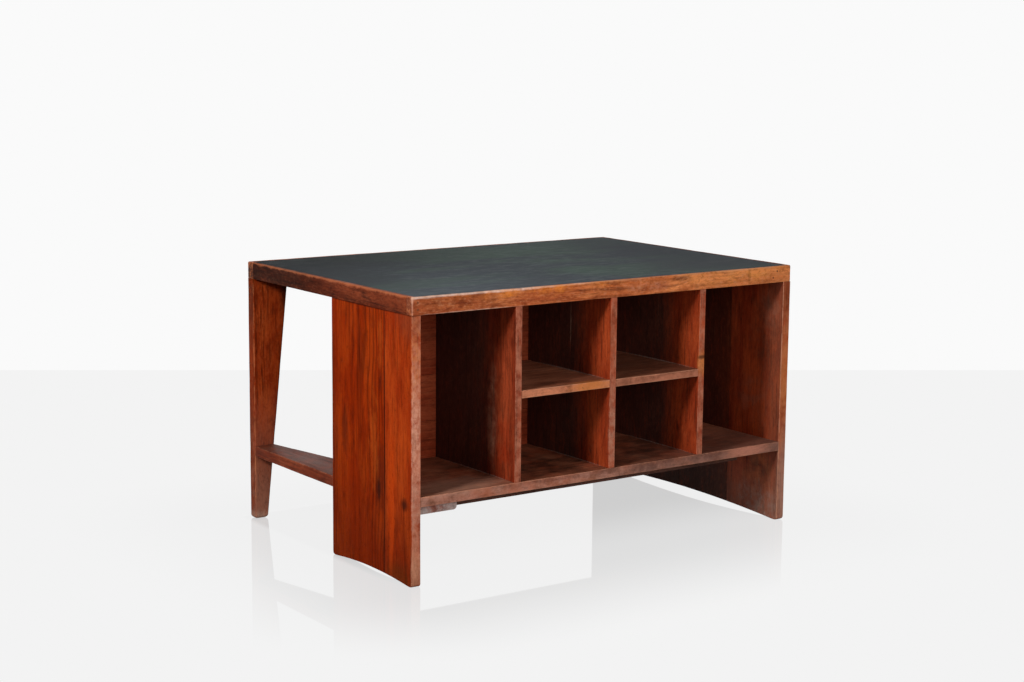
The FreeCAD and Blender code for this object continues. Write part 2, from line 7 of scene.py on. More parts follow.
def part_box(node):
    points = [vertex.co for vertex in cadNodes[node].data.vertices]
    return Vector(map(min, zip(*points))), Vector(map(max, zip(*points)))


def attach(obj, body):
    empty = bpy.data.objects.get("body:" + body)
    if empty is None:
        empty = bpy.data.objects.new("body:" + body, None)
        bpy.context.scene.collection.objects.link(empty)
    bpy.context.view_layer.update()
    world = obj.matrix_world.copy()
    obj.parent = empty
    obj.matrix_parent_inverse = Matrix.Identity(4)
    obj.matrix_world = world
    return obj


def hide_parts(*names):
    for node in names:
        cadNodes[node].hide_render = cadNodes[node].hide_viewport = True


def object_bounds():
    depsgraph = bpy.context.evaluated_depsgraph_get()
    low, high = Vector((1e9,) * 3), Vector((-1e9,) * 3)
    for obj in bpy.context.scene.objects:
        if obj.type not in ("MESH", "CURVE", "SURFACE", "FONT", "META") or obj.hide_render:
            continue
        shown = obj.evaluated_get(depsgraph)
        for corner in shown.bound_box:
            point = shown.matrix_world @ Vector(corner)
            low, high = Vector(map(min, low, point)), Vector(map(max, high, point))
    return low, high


# Pigeonhole desk: worn oiled teak, a dark leather top, seen from its front left corner.
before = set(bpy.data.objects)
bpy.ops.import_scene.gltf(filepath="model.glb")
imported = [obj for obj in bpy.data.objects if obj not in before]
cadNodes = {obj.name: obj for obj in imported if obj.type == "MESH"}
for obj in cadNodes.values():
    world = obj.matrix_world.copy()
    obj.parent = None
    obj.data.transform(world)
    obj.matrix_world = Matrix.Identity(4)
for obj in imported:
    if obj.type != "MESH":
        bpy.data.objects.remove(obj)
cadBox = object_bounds()
scene = bpy.context.scene
scene.view_settings.view_transform = "Standard"  # plain colours, as in a catalogue photo
print("frame loaded:", len(cadNodes), "nodes")


def screenColour(red, green, blue):
    linear = []
    for value in (red, green, blue):
        share = value / 255
        linear.append(share / 12.92 if share <= 0.04045 else ((share + 0.055) / 1.055) ** 2.4)
    return (*linear, 1.0)


# node helpers: each returns the socket that the next one takes
def feed(tree, value, socket):
    if isinstance(value, bpy.types.NodeSocket):
        tree.links.new(value, socket)
    else:
        socket.default_value = value


def calc(tree, operation, *values):
    node = tree.nodes.new("ShaderNodeMath")
    node.operation = operation
    for value, socket in zip(values, node.inputs):
        feed(tree, value, socket)
    return node.outputs[0]


def vectorCalc(tree, operation, *values):
    node = tree.nodes.new("ShaderNodeVectorMath")
    node.operation = operation
    for value, socket in zip(values, node.inputs):
        feed(tree, value, socket)
    return node.outputs["Value" if operation in ("LENGTH", "DOT_PRODUCT") else "Vector"]


def mixColour(tree, amount, first, second):
    node = tree.nodes.new("ShaderNodeMix")
    node.data_type = "RGBA"
    feed(tree, amount, node.inputs[0])
    feed(tree, first, node.inputs[6])
    feed(tree, second, node.inputs[7])
    return node.outputs[2]


def ease(tree, value, start, end, low=0.0, high=1.0):  # smooth step from start to end
    node = tree.nodes.new("ShaderNodeMapRange")
    node.interpolation_type = "SMOOTHSTEP"
    for given, socket in zip((value, start, end, low, high), node.inputs):
        feed(tree, given, socket)
    return node.outputs[0]


def noiseAt(tree, place, stretch, detail=3.0, rough=0.5, twist=0.0):
    node = tree.nodes.new("ShaderNodeTexNoise")
    node.inputs["Scale"].default_value = 1.0
    node.inputs["Detail"].default_value = detail
    node.inputs["Roughness"].default_value = rough
    node.inputs["Distortion"].default_value = twist
    feed(tree, vectorCalc(tree, "MULTIPLY", place, stretch), node.inputs["Vector"])
    return node.outputs[0]


def newMaterial(name):
    material = bpy.data.materials.new(name)
    material.use_nodes = True
    tree = material.node_tree
    tree.nodes.clear()
    output = tree.nodes.new("ShaderNodeOutputMaterial")
    return material, tree, output.inputs["Surface"]


def newPrincipled(name):
    material, tree, surface = newMaterial(name)
    shader = tree.nodes.new("ShaderNodeBsdfPrincipled")
    tree.links.new(shader.outputs[0], surface)
    return material, tree, shader


def addBump(tree, shader, height, strength, distance):
    bump = tree.nodes.new("ShaderNodeBump")
    bump.inputs["Strength"].default_value = strength
    bump.inputs["Distance"].default_value = distance
    tree.links.new(height, bump.inputs["Height"])
    tree.links.new(bump.outputs[0], shader.inputs["Normal"])


# how a board's grain lies: turns its length onto the pattern's own X
grainTurns = {
    "x": Euler((0, 0, 0)),
    "y": Euler((0, 0, math.radians(-90))),
    "z": Euler((0, math.radians(90), 0)),
}


def grainPlace(tree, coords, look):
    turn = grainTurns[look["grain"]].copy()
    pith = Vector(look["pith"])
    pith.rotate(turn)
    node = tree.nodes.new("ShaderNodeMapping")
    node.vector_type = "POINT"
    node.inputs["Rotation"].default_value = turn
    node.inputs["Location"].default_value = Vector((look["slide"], 0, 0)) - pith
    feed(tree, coords, node.inputs["Vector"])
    return node.outputs[0]


def growthRings(tree, place, look):
    node = tree.nodes.new("ShaderNodeTexWave")
    node.wave_type = "RINGS"
    node.rings_direction = "X"
    node.wave_profile = "SIN"
    node.inputs["Scale"].default_value = 0.314 / look["ring"]  # ring is the spacing in metres
    node.inputs["Distortion"].default_value = look["wander"]
    node.inputs["Detail"].default_value = 4.0
    node.inputs["Detail Scale"].default_value = 0.5
    node.inputs["Detail Roughness"].default_value = 0.6
    drawnOut = vectorCalc(tree, "MULTIPLY", place, (0.10, 1, 1))  # ten times as long as wide
    feed(tree, drawnOut, node.inputs["Vector"])
    return node.outputs["Fac"]


def edgeDistance(tree, coords, low, high):
    # on a box, the second smallest distance to a face is the distance to the nearest edge
    inside = vectorCalc(tree, "MINIMUM", vectorCalc(tree, "SUBTRACT", coords, low),
                        vectorCalc(tree, "SUBTRACT", high, coords))
    parts = tree.nodes.new("ShaderNodeSeparateXYZ")
    feed(tree, inside, parts.inputs[0])
    x, y, z = parts.outputs
    least = calc(tree, "MINIMUM", calc(tree, "MINIMUM", x, y), z)
    most = calc(tree, "MAXIMUM", calc(tree, "MAXIMUM", x, y), z)
    total = calc(tree, "ADD", calc(tree, "ADD", x, y), z)
    return calc(tree, "SUBTRACT", calc(tree, "SUBTRACT", total, least), most)


def facingAmount(tree, normal, toward):
    return ease(tree, vectorCalc(tree, "DOT_PRODUCT", normal, toward), 0.6, 0.9)  # full within 25 degrees


def paintShades(tree, coords, normal, colour, shades, ragged):
    # slow changes of tone along one direction, on all sides or on the side that looks toward a direction
    for shade in shades:
        along = vectorCalc(tree, "DOT_PRODUCT", coords, shade["along"])
        along = calc(tree, "ADD", along, calc(tree, "MULTIPLY", ragged, shade["ragged"]))
        amount = ease(tree, along, shade["start"], shade["end"], 0.0, shade["amount"])
        if shade["toward"]:
            amount = calc(tree, "MULTIPLY", amount, facingAmount(tree, normal, shade["toward"]))
        colour = mixColour(tree, amount, colour, screenColour(*shade["tone"]))
    return colour


def paintPatches(tree, coords, colour, patches, ragged):
    # knots, scuffs and dirt: soft spots with a ragged edge
    for patch in patches:
        offset = vectorCalc(tree, "SUBTRACT", coords, patch["at"])
        away = vectorCalc(tree, "LENGTH", vectorCalc(tree, "DIVIDE", offset, patch["reach"]))
        away = calc(tree, "ADD", away, calc(tree, "MULTIPLY", ragged, patch["ragged"]))
        amount = ease(tree, away, 1.0, 0.2, 0.0, patch["amount"])  # full over the inner fifth
        if patch["mottled"]:  # spots per metre that break the patch up
            broken = noiseAt(tree, coords, (patch["mottled"],) * 3, detail=5, rough=0.65)
            amount = calc(tree, "MULTIPLY", amount, ease(tree, broken, 0.34, 0.66))
        colour = mixColour(tree, amount, colour, screenColour(*patch["tone"]))
    return colour


def wavyGrain(tree, place, wave):  # pushes the pattern sideways by slow noise
    node = tree.nodes.new("ShaderNodeTexNoise")
    node.inputs["Scale"].default_value = 1.0
    node.inputs["Detail"].default_value = 2.0
    feed(tree, vectorCalc(tree, "MULTIPLY", place, (4.5, 11, 11)), node.inputs["Vector"])
    push = vectorCalc(tree, "SUBTRACT", node.outputs["Color"], (0.5, 0.5, 0.5))
    return vectorCalc(tree, "ADD", place, vectorCalc(tree, "MULTIPLY", push, (0, wave, wave)))


rubbedTone = (198, 138, 108)  # wood rubbed bare of its finish
bareTone = (206, 142, 104)  # small spots without finish
grainNoise = {  # stretch is in spots per metre, along the grain and across it
    "ringed": {"stretch": (1.6, 7, 7), "detail": 2, "rough": 0.5},  # where growth rings show
    "lines": {"stretch": (5, 170, 170), "detail": 6, "rough": 0.7},
    "fibres": {"stretch": (18, 480, 480), "detail": 3, "rough": 0.6},
    "pores": {"stretch": (70, 1500, 1500), "detail": 1, "rough": 0.5},
    "smears": {"stretch": (7, 52, 52), "detail": 7, "rough": 0.72, "twist": 1.0},
    "clouds": {"stretch": (4, 14, 14), "detail": 5, "rough": 0.62},
    "ragged": {"stretch": (28, 90, 90), "detail": 6, "rough": 0.7},  # frays the edges of stains
    "specks": {"stretch": (80, 170, 170), "detail": 4, "rough": 0.65},  # dirt and bare spots of millimetres
    "grime": {"stretch": (24, 64, 64), "detail": 6, "rough": 0.75},  # dirt and wear over centimetres
}
faceNoise = {  # spots per metre on the faces, whatever the grain
    "rubbed": {"stretch": (24, 24, 24), "detail": 6, "rough": 0.7},
    "dents": {"stretch": (130, 130, 130), "detail": 3, "rough": 0.6},  # small dents hold dirt
    "worn": {"stretch": (30, 30, 30), "detail": 5, "rough": 0.75},
}
woodBump = {"strength": 0.35, "distance": 0.0008}


def makeTeak(name, look):
    material, tree, shader = newPrincipled(name)
    source = tree.nodes.new("ShaderNodeTexCoord")
    coords, normal = source.outputs["Object"], source.outputs["Normal"]
    place = wavyGrain(tree, grainPlace(tree, coords, look), look["wave"])
    rings = growthRings(tree, place, look)
    grain = {pattern: noiseAt(tree, place, **values) for pattern, values in grainNoise.items()}
    face = {pattern: noiseAt(tree, coords, **values) for pattern, values in faceNoise.items()}
    ragged = calc(tree, "SUBTRACT", grain["ragged"], 0.5)
    pale, middle, dark = (screenColour(*look[tone]) for tone in ("pale", "middle", "dark"))

    def layer(under, pattern, start, full, strength, tone):
        # the tone comes in as the pattern goes from start to full
        return mixColour(tree, ease(tree, pattern, start, full, 0.0, strength), under, tone)

    colour = layer(pale, grain["clouds"], 0.38, 0.60, 1.0, middle)
    ringed = ease(tree, grain["ringed"], 0.46, 0.64, 0.0, look["ringShow"])
    colour = mixColour(tree, calc(tree, "MULTIPLY", ease(tree, rings, 0.4, 0.95), ringed), colour, dark)
    colour = layer(colour, grain["lines"], 0.50, 0.72, look["lineShow"], dark)
    colour = layer(colour, grain["lines"], 0.47, 0.30, 0.5, pale)
    colour = layer(colour, grain["fibres"], 0.45, 0.75, 0.4, dark)
    colour = layer(colour, grain["smears"], 0.52, 0.72, look["figure"], dark)
    colour = paintShades(tree, coords, normal, colour, look.get("shades", []), ragged)

    for facing in look.get("facings", []):  # cut edges that hands and feet have rubbed
        turned = facingAmount(tree, normal, facing["toward"])
        mottled = ease(tree, face["rubbed"], 0.36, 0.62, 0.15, 1.0)
        rubbed = calc(tree, "MULTIPLY", calc(tree, "MULTIPLY", turned, mottled), facing["amount"])
        colour = mixColour(tree, rubbed, colour, screenColour(*facing["tone"]))
    colour = paintPatches(tree, coords, colour, look.get("patches", []), ragged)
    colour = layer(colour, grain["lines"], 0.52, 0.72, look["lineShow"] * 0.5, dark)
    colour = layer(colour, grain["pores"], 0.62, 0.78, 0.35, dark)
    colour = layer(colour, grain["specks"], 0.50, 0.68, look["speckle"], dark)
    colour = layer(colour, grain["specks"], 0.50, 0.32, look["bare"], screenColour(*bareTone))
    colour = layer(colour, grain["grime"], 0.51, 0.66, look["grime"], dark)
    colour = layer(colour, grain["grime"], 0.49, 0.34, look["grime"] * 0.8, pale)
    colour = layer(colour, face["dents"], 0.60, 0.72, 0.35, dark)

    worn = look.get("worn")
    if worn:
        distance = edgeDistance(tree, coords, worn["low"], worn["high"])
        width = ease(tree, face["worn"], 0.36, 0.68, worn["least"], worn["width"])
        amount = ease(tree, distance, width, 0.0, 0.0, worn["amount"])
        colour = mixColour(tree, amount, colour, screenColour(*worn["tone"]))
    tree.links.new(colour, shader.inputs["Base Color"])

    gloss = ease(tree, grain["clouds"], 0.3, 0.7, 0.42, 0.58)
    gloss = calc(tree, "ADD", gloss, calc(tree, "MULTIPLY", grain["lines"], 0.1))
    tree.links.new(gloss, shader.inputs["Roughness"])
    shader.inputs["Specular IOR Level"].default_value = look["shine"]
    height = calc(tree, "MULTIPLY", rings, 0.1)
    height = calc(tree, "SUBTRACT", height, calc(tree, "MULTIPLY", grain["lines"], 0.6))
    height = calc(tree, "SUBTRACT", height, ease(tree, grain["pores"], 0.6, 0.8, 0.0, 0.6))
    addBump(tree, shader, height, **woodBump)
    return material


def dress(names, material):
    for name in names:
        mesh = cadNodes[name].data
        mesh.materials.clear()
        mesh.materials.append(material)


# board builders: shapes start as a block or a flat outline in the desk's frame
def startBlock(low, high):
    shape = bmesh.new()
    bmesh.ops.create_cube(shape, size=1.0)
    bmesh.ops.scale(shape, vec=high - low, verts=shape.verts)
    bmesh.ops.translate(shape, vec=(low + high) / 2, verts=shape.verts)
    return shape


def onlyPoints(parts):
    return [part for part in parts if isinstance(part, bmesh.types.BMVert)]


def sweepFaces(shape, faces, move):
    swept = bmesh.ops.extrude_face_region(shape, geom=faces)["geom"]
    bmesh.ops.translate(shape, vec=move, verts=onlyPoints(swept))


def startOutline(corners, sweep):
    shape = bmesh.new()
    face = shape.faces.new([shape.verts.new(corner) for corner in corners])
    sweepFaces(shape, [face], sweep)
    bmesh.ops.recalc_face_normals(shape, faces=shape.faces)
    return shape


def slicePlane(shape, point, normal):
    geometry = [*shape.verts, *shape.edges, *shape.faces]
    bmesh.ops.bisect_plane(shape, geom=geometry, plane_co=point, plane_no=normal, dist=1e-6)


xAxis, yAxis, zAxis = 0, 1, 2


def sliceAlong(shape, axis, step):
    spots = [vertex.co[axis] for vertex in shape.verts]
    low, high = min(spots), max(spots)
    count = max(2, round((high - low) / step))
    normal = Vector((0, 0, 0))
    normal[axis] = 1
    for number in range(1, count):
        slicePlane(shape, normal * (low + (high - low) * number / count), normal)


def sharpEdges(shape, chosen=None):
    # edges that turn a corner, and that lie where chosen says
    leastTurn = 0.6  # in radians
    found = []
    for edge in shape.edges:
        if len(edge.link_faces) == 2 and edge.calc_face_angle() > leastTurn:
            if chosen is None or chosen((edge.verts[0].co + edge.verts[1].co) / 2):
                found.append(edge)
    return found


def facesWhere(shape, chosen):  # faces whose middle lies where chosen says
    return [face for face in shape.faces if chosen(face.calc_center_median())]


def roundEdges(shape, edges, radius, segments):
    bmesh.ops.bevel(shape, geom=edges, offset=radius, offset_type="OFFSET", segments=segments, profile=0.5,
                    affect="EDGES", material=-1, clamp_overlap=True)


def roughen(shape, depth, seed):
    # arrises are never quite straight: each point goes in a little, never out
    dipsPerMetre, moreDips = 18, 0.1
    shape.normal_update()
    for vertex in shape.verts:
        dip = max(0.0, noise.noise(vertex.co * dipsPerMetre + Vector((seed, 0, 0))) + moreDips)
        vertex.co -= vertex.normal * depth * dip
        for axis in range(3):
            vertex.co[axis] = min(max(vertex.co[axis], cadBox[0][axis]), cadBox[1][axis])


def finishPiece(name, shape, material, nodes):
    mesh = bpy.data.meshes.new(name)
    shape.to_mesh(mesh)
    shape.free()
    mesh.shade_smooth()
    mesh.materials.append(material)
    piece = bpy.data.objects.new(name, mesh)
    scene.collection.objects.link(piece)
    evened = piece.modifiers.new("evenShading", "WEIGHTED_NORMAL")
    evened.weight = 100
    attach(piece, "root")
    if nodes:
        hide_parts(*nodes)
    return piece


near = 0.0008  # closer than this counts as on a face


def finishBoard(name, node, shape, look, sliceAxis, make):
    # breaks the edges that are left, cuts the board up along its length and makes it wavy
    if "plainRadius" in make:
        roundEdges(shape, sharpEdges(shape), make["plainRadius"], 1)
    sliceAlong(shape, sliceAxis, make["sliceStep"])
    roughen(shape, make["waviness"], look["slide"] * make["seedStep"])  # no two boards alike
    finishPiece(name, shape, makeTeak(name + "Teak", look), [node])


board = {"wornRadius": 0.0016, "plainRadius": 0.0004, "sliceStep": 0.05, "waviness": 0.0005, "seedStep": 7}


def makeBoard(name, node, look, low=None, high=None, wornAt=None, sliceAxis=zAxis, shapeIt=None, make=board):
    # a worn board in place of a node, inside the node's box
    boxLow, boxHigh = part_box(node)
    shape = startBlock(low or boxLow, high or boxHigh)
    if shapeIt:
        shapeIt(shape)
    if wornAt:
        roundEdges(shape, sharpEdges(shape, wornAt), make["wornRadius"], 3)
    finishBoard(name, node, shape, look, sliceAxis, make)


far = 9.0  # stands for "no worn edge on this side"
frontY, rearY = cadBox[0].y, cadBox[1].y
leftX, rightX = cadBox[0].x, cadBox[1].x
topZ = cadBox[1].z
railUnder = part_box("left_rail")[0].z
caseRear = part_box("back_board_1")[1].y
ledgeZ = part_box("top_board_1")[0].z
shelfTongue = 0.008  # enters the end panel
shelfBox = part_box("bottom_shelf_front_board")
panelInner = shelfBox[1].x - shelfTongue
shelfLow, shelfTop = shelfBox[0].z, shelfBox[1].z

teak = {
    "ring": 0.011, "wander": 3, "wave": 0.02, "ringShow": 0.5, "lineShow": 0.55, "figure": 0.65,
    "shine": 0.14, "speckle": 0.15, "bare": 0.05, "grime": 0.3,
}
panelTeak = {
    **teak, "pale": (158, 53, 3), "middle": (140, 37, 0), "dark": (60, 14, 0),
    "shine": 0.02, "lineShow": 0.5, "bare": 0.0, "grime": 0.2,
}
railTeak = {
    **teak, "pale": (230, 138, 80), "middle": (182, 90, 48), "dark": (84, 35, 18),
    "lineShow": 0.75, "speckle": 0.4, "bare": 0.3,
}
sideRailTeak = {
    **teak, "pale": (132, 59, 31), "middle": (92, 36, 18), "dark": (28, 11, 7),
    "shine": 0.04, "figure": 0.8, "lineShow": 0.7, "speckle": 0.35,
}
innerTeak = {
    **teak, "pale": (180, 74, 36), "middle": (148, 52, 24), "dark": (46, 18, 11),
    "ringShow": 0.25, "lineShow": 0.75, "speckle": 0.25, "grime": 0.2,
}
shelfTeak = {**teak, "pale": (170, 106, 78), "middle": (134, 77, 54), "dark": (58, 32, 23)}
legTeak = {
    **teak, "pale": (168, 68, 25), "middle": (136, 43, 11), "dark": (44, 14, 5),
    "shine": 0.04, "lineShow": 0.75, "figure": 0.8, "speckle": 0.25,
}
dustTone = (190, 168, 156)
jointTone = (38, 14, 8)
toLeft, toRight = (-1, 0, 0), (1, 0, 0)
toFront, toRear = (0, -1, 0), (0, 1, 0)
toTop = (0, 0, 1)


def fade(along, start, end, tone, amount, toward=None, ragged=0.08):  # a tone that comes in from start to end
    return {"along": along, "start": start, "end": end, "tone": tone, "amount": amount,
            "toward": toward, "ragged": ragged}


def stain(at, reach, tone, amount, ragged=1.4, mottled=0):  # a soft spot that fades out at its reach
    return {"at": at, "reach": reach, "tone": tone, "amount": amount, "ragged": ragged, "mottled": mottled}


def jointLine(at, reach, amount=0.75):  # the thin dark line where two boards meet
    return stain(at, reach, jointTone, amount, ragged=0.5)


def wornBox(low, high, width=0.005, amount=0.7, tone=rubbedTone, least=0.001):  # pale along a box's edges
    return {"low": low, "high": high, "width": width, "amount": amount, "tone": tone, "least": least}


paleEdge = {"toward": toFront, "tone": (190, 124, 98), "amount": 0.85}
shelfEdge = {**paleEdge, "tone": (178, 126, 108), "amount": 0.8}
# darker and greyer toward the rear of each pigeonhole: dust, and painted shade deep inside
deepDustAndShade = fade(toRear, frontY + 0.07, frontY + 0.17, (64, 48, 43), 0.85, ragged=0.1)

# the long rails are rebated for the top boards, but not at their ends
longRail = {
    "sideLip": 0.012, "roundTop": 0.004, "roundUnder": 0.0015,
    "plainRadius": 0.0004, "sliceStep": 0.04, "waviness": 0.0007, "seedStep": 7,
}


def makeLongRail(name, node, look, inward):
    low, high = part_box(node)
    outer, inner = (low.y, high.y) if inward > 0 else (high.y, low.y)
    lipY = outer + inward * look["lip"]
    rebateEnd = high.x - longRail["sideLip"]
    shape = startBlock(low, high)
    for endX in (-rebateEnd, rebateEnd):
        slicePlane(shape, Vector((endX, 0, 0)), Vector((1, 0, 0)))
    slicePlane(shape, Vector((0, lipY, 0)), Vector((0, 1, 0)))
    slicePlane(shape, Vector((0, 0, ledgeZ)), Vector((0, 0, 1)))

    def onRebate(spot):
        return spot.z > high.z - near and (spot.y - lipY) * inward > 0 and abs(spot.x) < rebateEnd

    def atRebateMouth(spot):
        return spot.z > ledgeZ and abs(spot.y - inner) < near and abs(spot.x) < rebateEnd

    sunk = facesWhere(shape, onRebate)
    sweepFaces(shape, sunk, (0, 0, ledgeZ - high.z))
    bmesh.ops.delete(shape, geom=sunk, context="FACES_ONLY")
    bmesh.ops.delete(shape, geom=facesWhere(shape, atRebateMouth), context="FACES")
    bmesh.ops.remove_doubles(shape, verts=shape.verts, dist=1e-5)
    bmesh.ops.dissolve_limit(shape, angle_limit=0.01, verts=shape.verts, edges=shape.edges)
    bmesh.ops.recalc_face_normals(shape, faces=shape.faces)

    def atTopOutside(spot):
        atFace = abs(spot.y - outer) < near
        atEnd = abs(spot.x) > high.x - near
        atTop = spot.z > high.z - near
        return (atTop and (atFace or atEnd)) or (atFace and atEnd)

    roundEdges(shape, sharpEdges(shape, atTopOutside), longRail["roundTop"], 4)
    roundEdges(shape, sharpEdges(shape, lambda spot: spot.z < low.z + near), longRail["roundUnder"], 2)
    finishBoard(name, node, shape, look, xAxis, longRail)


railEnd = {"toward": toLeft, "tone": (112, 50, 26), "amount": 1.0}
farEnd = {"toward": toRight, "tone": (60, 30, 19), "amount": 1.0}
frontRail = {
    **railTeak, "lip": 0.006, "grain": "x", "pith": (0, frontY + 0.09, 0.62), "slide": 0.3,
    "ring": 0.010, "ringShow": 0.3, "wave": 0.03, "figure": 0.95, "facings": [railEnd, farEnd],
    "worn": wornBox((-far, frontY, -far), (far, far, topZ), 0.008, 0.6, (204, 144, 108), 0.002),
    "patches": [
        # worn top arris, made whiter at the left with a painted highlight
        stain((-0.42, frontY, topZ), (0.44, 0.008, 0.007), (244, 222, 210), 0.95),
        stain((leftX, frontY, topZ), (0.009, 0.009, 0.022), (206, 158, 134), 0.6),
        stain((leftX, frontY, 0.69), (0.004, 0.004, 0.07), (208, 160, 136), 0.7, ragged=0.5),
        stain((-0.44, frontY, railUnder), (0.18, 0.004, 0.004), (212, 170, 148), 0.8),
        stain((0.11, frontY, 0.685), (0.10, 0.02, 0.018), (204, 150, 122), 0.45, mottled=40),
        stain((0.46, frontY, 0.69), (0.008, 0.02, 0.03), (78, 38, 20), 0.6, ragged=2.5),
        stain((-0.25, frontY, topZ), (0.34, 0.02, 0.03), (226, 128, 40), 0.8, mottled=20),
        stain((-0.48, frontY, 0.69), (0.20, 0.02, 0.05), (112, 54, 24), 0.6, mottled=36),
        stain((0.18, frontY, 0.67), (0.22, 0.02, 0.03), (150, 62, 28), 0.6, mottled=22),
        stain((0.42, frontY, 0.70), (0.25, 0.02, 0.04), (228, 146, 70), 0.5, mottled=22),
        stain((0.22, frontY, 0.70), (0.05, 0.02, 0.010), (78, 40, 24), 0.6),
    ],
    "shades": [
        fade(toRight, -0.3, 0.6, (222, 140, 80), 0.35),
        fade(toRight, 0.0, -0.5, (136, 60, 33), 0.65),
    ],
}
makeLongRail("frontRail", "front_rail", frontRail, 1)
rearRail = {
    **frontRail, "lip": 0.008, "slide": 1.7, "patches": [], "shades": [],
    "facings": [{**farEnd, "toward": toLeft}, farEnd],
    "worn": wornBox((leftX, -far, railUnder), (rightX, rearY, topZ), 0.005, 0.4),
}
makeLongRail("rearRail", "rear_rail", rearRail, -1)

sideRail = {
    **sideRailTeak, "thickness": 0.025, "lip": 0.012, "length": (-0.39, 0.385),
    "plainRadius": 0.0003, "sliceStep": 0.04, "waviness": 0.0006, "seedStep": 7,
    "grain": "y", "pith": (leftX + 0.05, 0, 0.60), "slide": 0.8,
    "facings": [{"toward": toTop, "tone": (156, 88, 56), "amount": 0.8}],
    "worn": wornBox((leftX, -far, 0.5), (rightX, far, topZ), 0.011, 0.75, (184, 106, 70), 0.004),
    "shades": [fade(toRear, -0.10, 0.22, (46, 22, 14), 0.8)],
}


def makeSideRail(name, node, side, look):
    low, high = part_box(node)
    outer = leftX if side < 0 else rightX
    inner = outer - side * look["thickness"]
    lipX = outer - side * look["lip"]
    start, end = look["length"]
    section = [
        (outer, low.z), (inner, low.z), (inner, ledgeZ),
        (lipX, ledgeZ), (lipX, high.z), (outer, high.z),
    ]
    shape = startOutline([Vector((x, start, z)) for x, z in section], Vector((0, end - start, 0)))
    topEdge = sharpEdges(shape, lambda spot: abs(spot.x - outer) < near and spot.z > high.z - near)
    roundEdges(shape, topEdge, longRail["roundTop"], 4)
    roundEdges(shape, sharpEdges(shape, lambda spot: spot.z < low.z + near), longRail["roundUnder"], 2)
    finishBoard(name, node, shape, look, yAxis, look)


makeSideRail("leftRail", "left_rail", -1, sideRail)
makeSideRail("rightRail", "right_rail", 1, {**sideRail, "slide": 2.6, "pith": (rightX - 0.05, 0, 0.60)})
print("rails made")

# end panels: boards glued edge to edge over an arch
panel = {
    **board, "wornRadius": 0.0018, "thickness": 0.025, "foot": 0.018, "footRadius": 0.008,
    "handledEdge": 0.007, "archStep": 0.012, "rightBoards": 4,
}
leftArch = {"front": frontY, "rear": caseRear, "rise": 0.0095}
rightArch = {"front": frontY, "rear": rearY, "rise": 0.0165}


def archOver(arch, shape):
    middle = (arch["front"] + arch["rear"]) / 2
    half = (arch["rear"] - arch["front"]) / 2 - panel["foot"]
    radius = (half ** 2 + arch["rise"] ** 2) / (2 * arch["rise"])
    sliceAlong(shape, yAxis, panel["archStep"])
    for vertex in shape.verts:
        away = vertex.co.y - middle
        if vertex.co.z < near and abs(away) < half:
            vertex.co.z = arch["rise"] - radius + math.sqrt(radius ** 2 - away ** 2)


def makePanelBoard(name, node, look, side, arch):
    boxLow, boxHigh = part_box(node)
    low = Vector((boxLow.x, boxLow.y, 0))
    high = Vector((boxHigh.x, boxHigh.y, railUnder))
    outer = leftX if side < 0 else rightX

    def atOutside(spot):
        return abs(spot.x - outer) < near

    def handled(spot):
        atFront = spot.y < arch["front"] + panel["handledEdge"]
        atRear = spot.y > arch["rear"] - panel["handledEdge"] and atOutside(spot)
        return (atFront or atRear) and abs(spot.z - railUnder) > near

    def wornRound(spot):
        atEnd = abs(spot.y - arch["front"]) < near or abs(spot.y - arch["rear"]) < near
        footEnd = atEnd and spot.z < near
        outerEdge = side > 0 and atOutside(spot) and spot.z < arch["rise"] + near
        return footEnd or outerEdge

    def shapeIt(shape):
        archOver(arch, shape)
        roundEdges(shape, sharpEdges(shape, wornRound), panel["footRadius"], 4)

    makeBoard(name, node, look, low, high, handled, shapeIt=shapeIt, make=panel)


leftPanel = {
    **panelTeak, "grain": "z", "pith": (leftX + 0.06, -0.18, 0), "slide": 0.4, "facings": [paleEdge],
    "shades": [fade(toTop, 0.35, 0.0, (92, 26, 5), 0.5)],
    "worn": wornBox((leftX, frontY, -far), (leftX + panel["thickness"], caseRear, far),
                    0.0022, 0.5, least=0.0004),
}
knotTone = (50, 16, 7)
leftSeam = jointLine((leftX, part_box("left_panel_front_board")[1].y, 0.33), (0.04, 0.0045, 0.6), 0.9)
underRail = jointLine((leftX, -0.22, railUnder), (0.04, 0.35, 0.004))
goldTone = (196, 92, 30)
leftPanelMarks = [  # dark knots and golden figure on the rear board, each long in the grain
    stain((leftX, caseRear, 0.36), (0.05, 0.035, 0.45), (92, 28, 6), 0.55, ragged=0.4),
    stain((leftX, -0.10, 0.34), (0.05, 0.022, 0.10), knotTone, 0.55),
    stain((leftX, -0.27, 0.25), (0.05, 0.03, 0.12), knotTone, 0.5),
    stain((leftX, -0.262, 0.215), (0.05, 0.014, 0.040), knotTone, 0.9, ragged=1.0),
    stain((leftX, -0.270, 0.49), (0.05, 0.008, 0.040), knotTone, 0.7, ragged=1.0),
    stain((leftX, -0.24, 0.34), (0.05, 0.03, 0.14), goldTone, 0.25, ragged=2.5),
    stain((leftX, -0.27, 0.60), (0.05, 0.02, 0.10), goldTone, 0.25, ragged=2.5),
    leftSeam, underRail,
]
leftPanelRear = {**leftPanel, "patches": leftPanelMarks}
makePanelBoard("leftPanelRearBoard", "left_panel_rear_board", leftPanelRear, -1, leftArch)
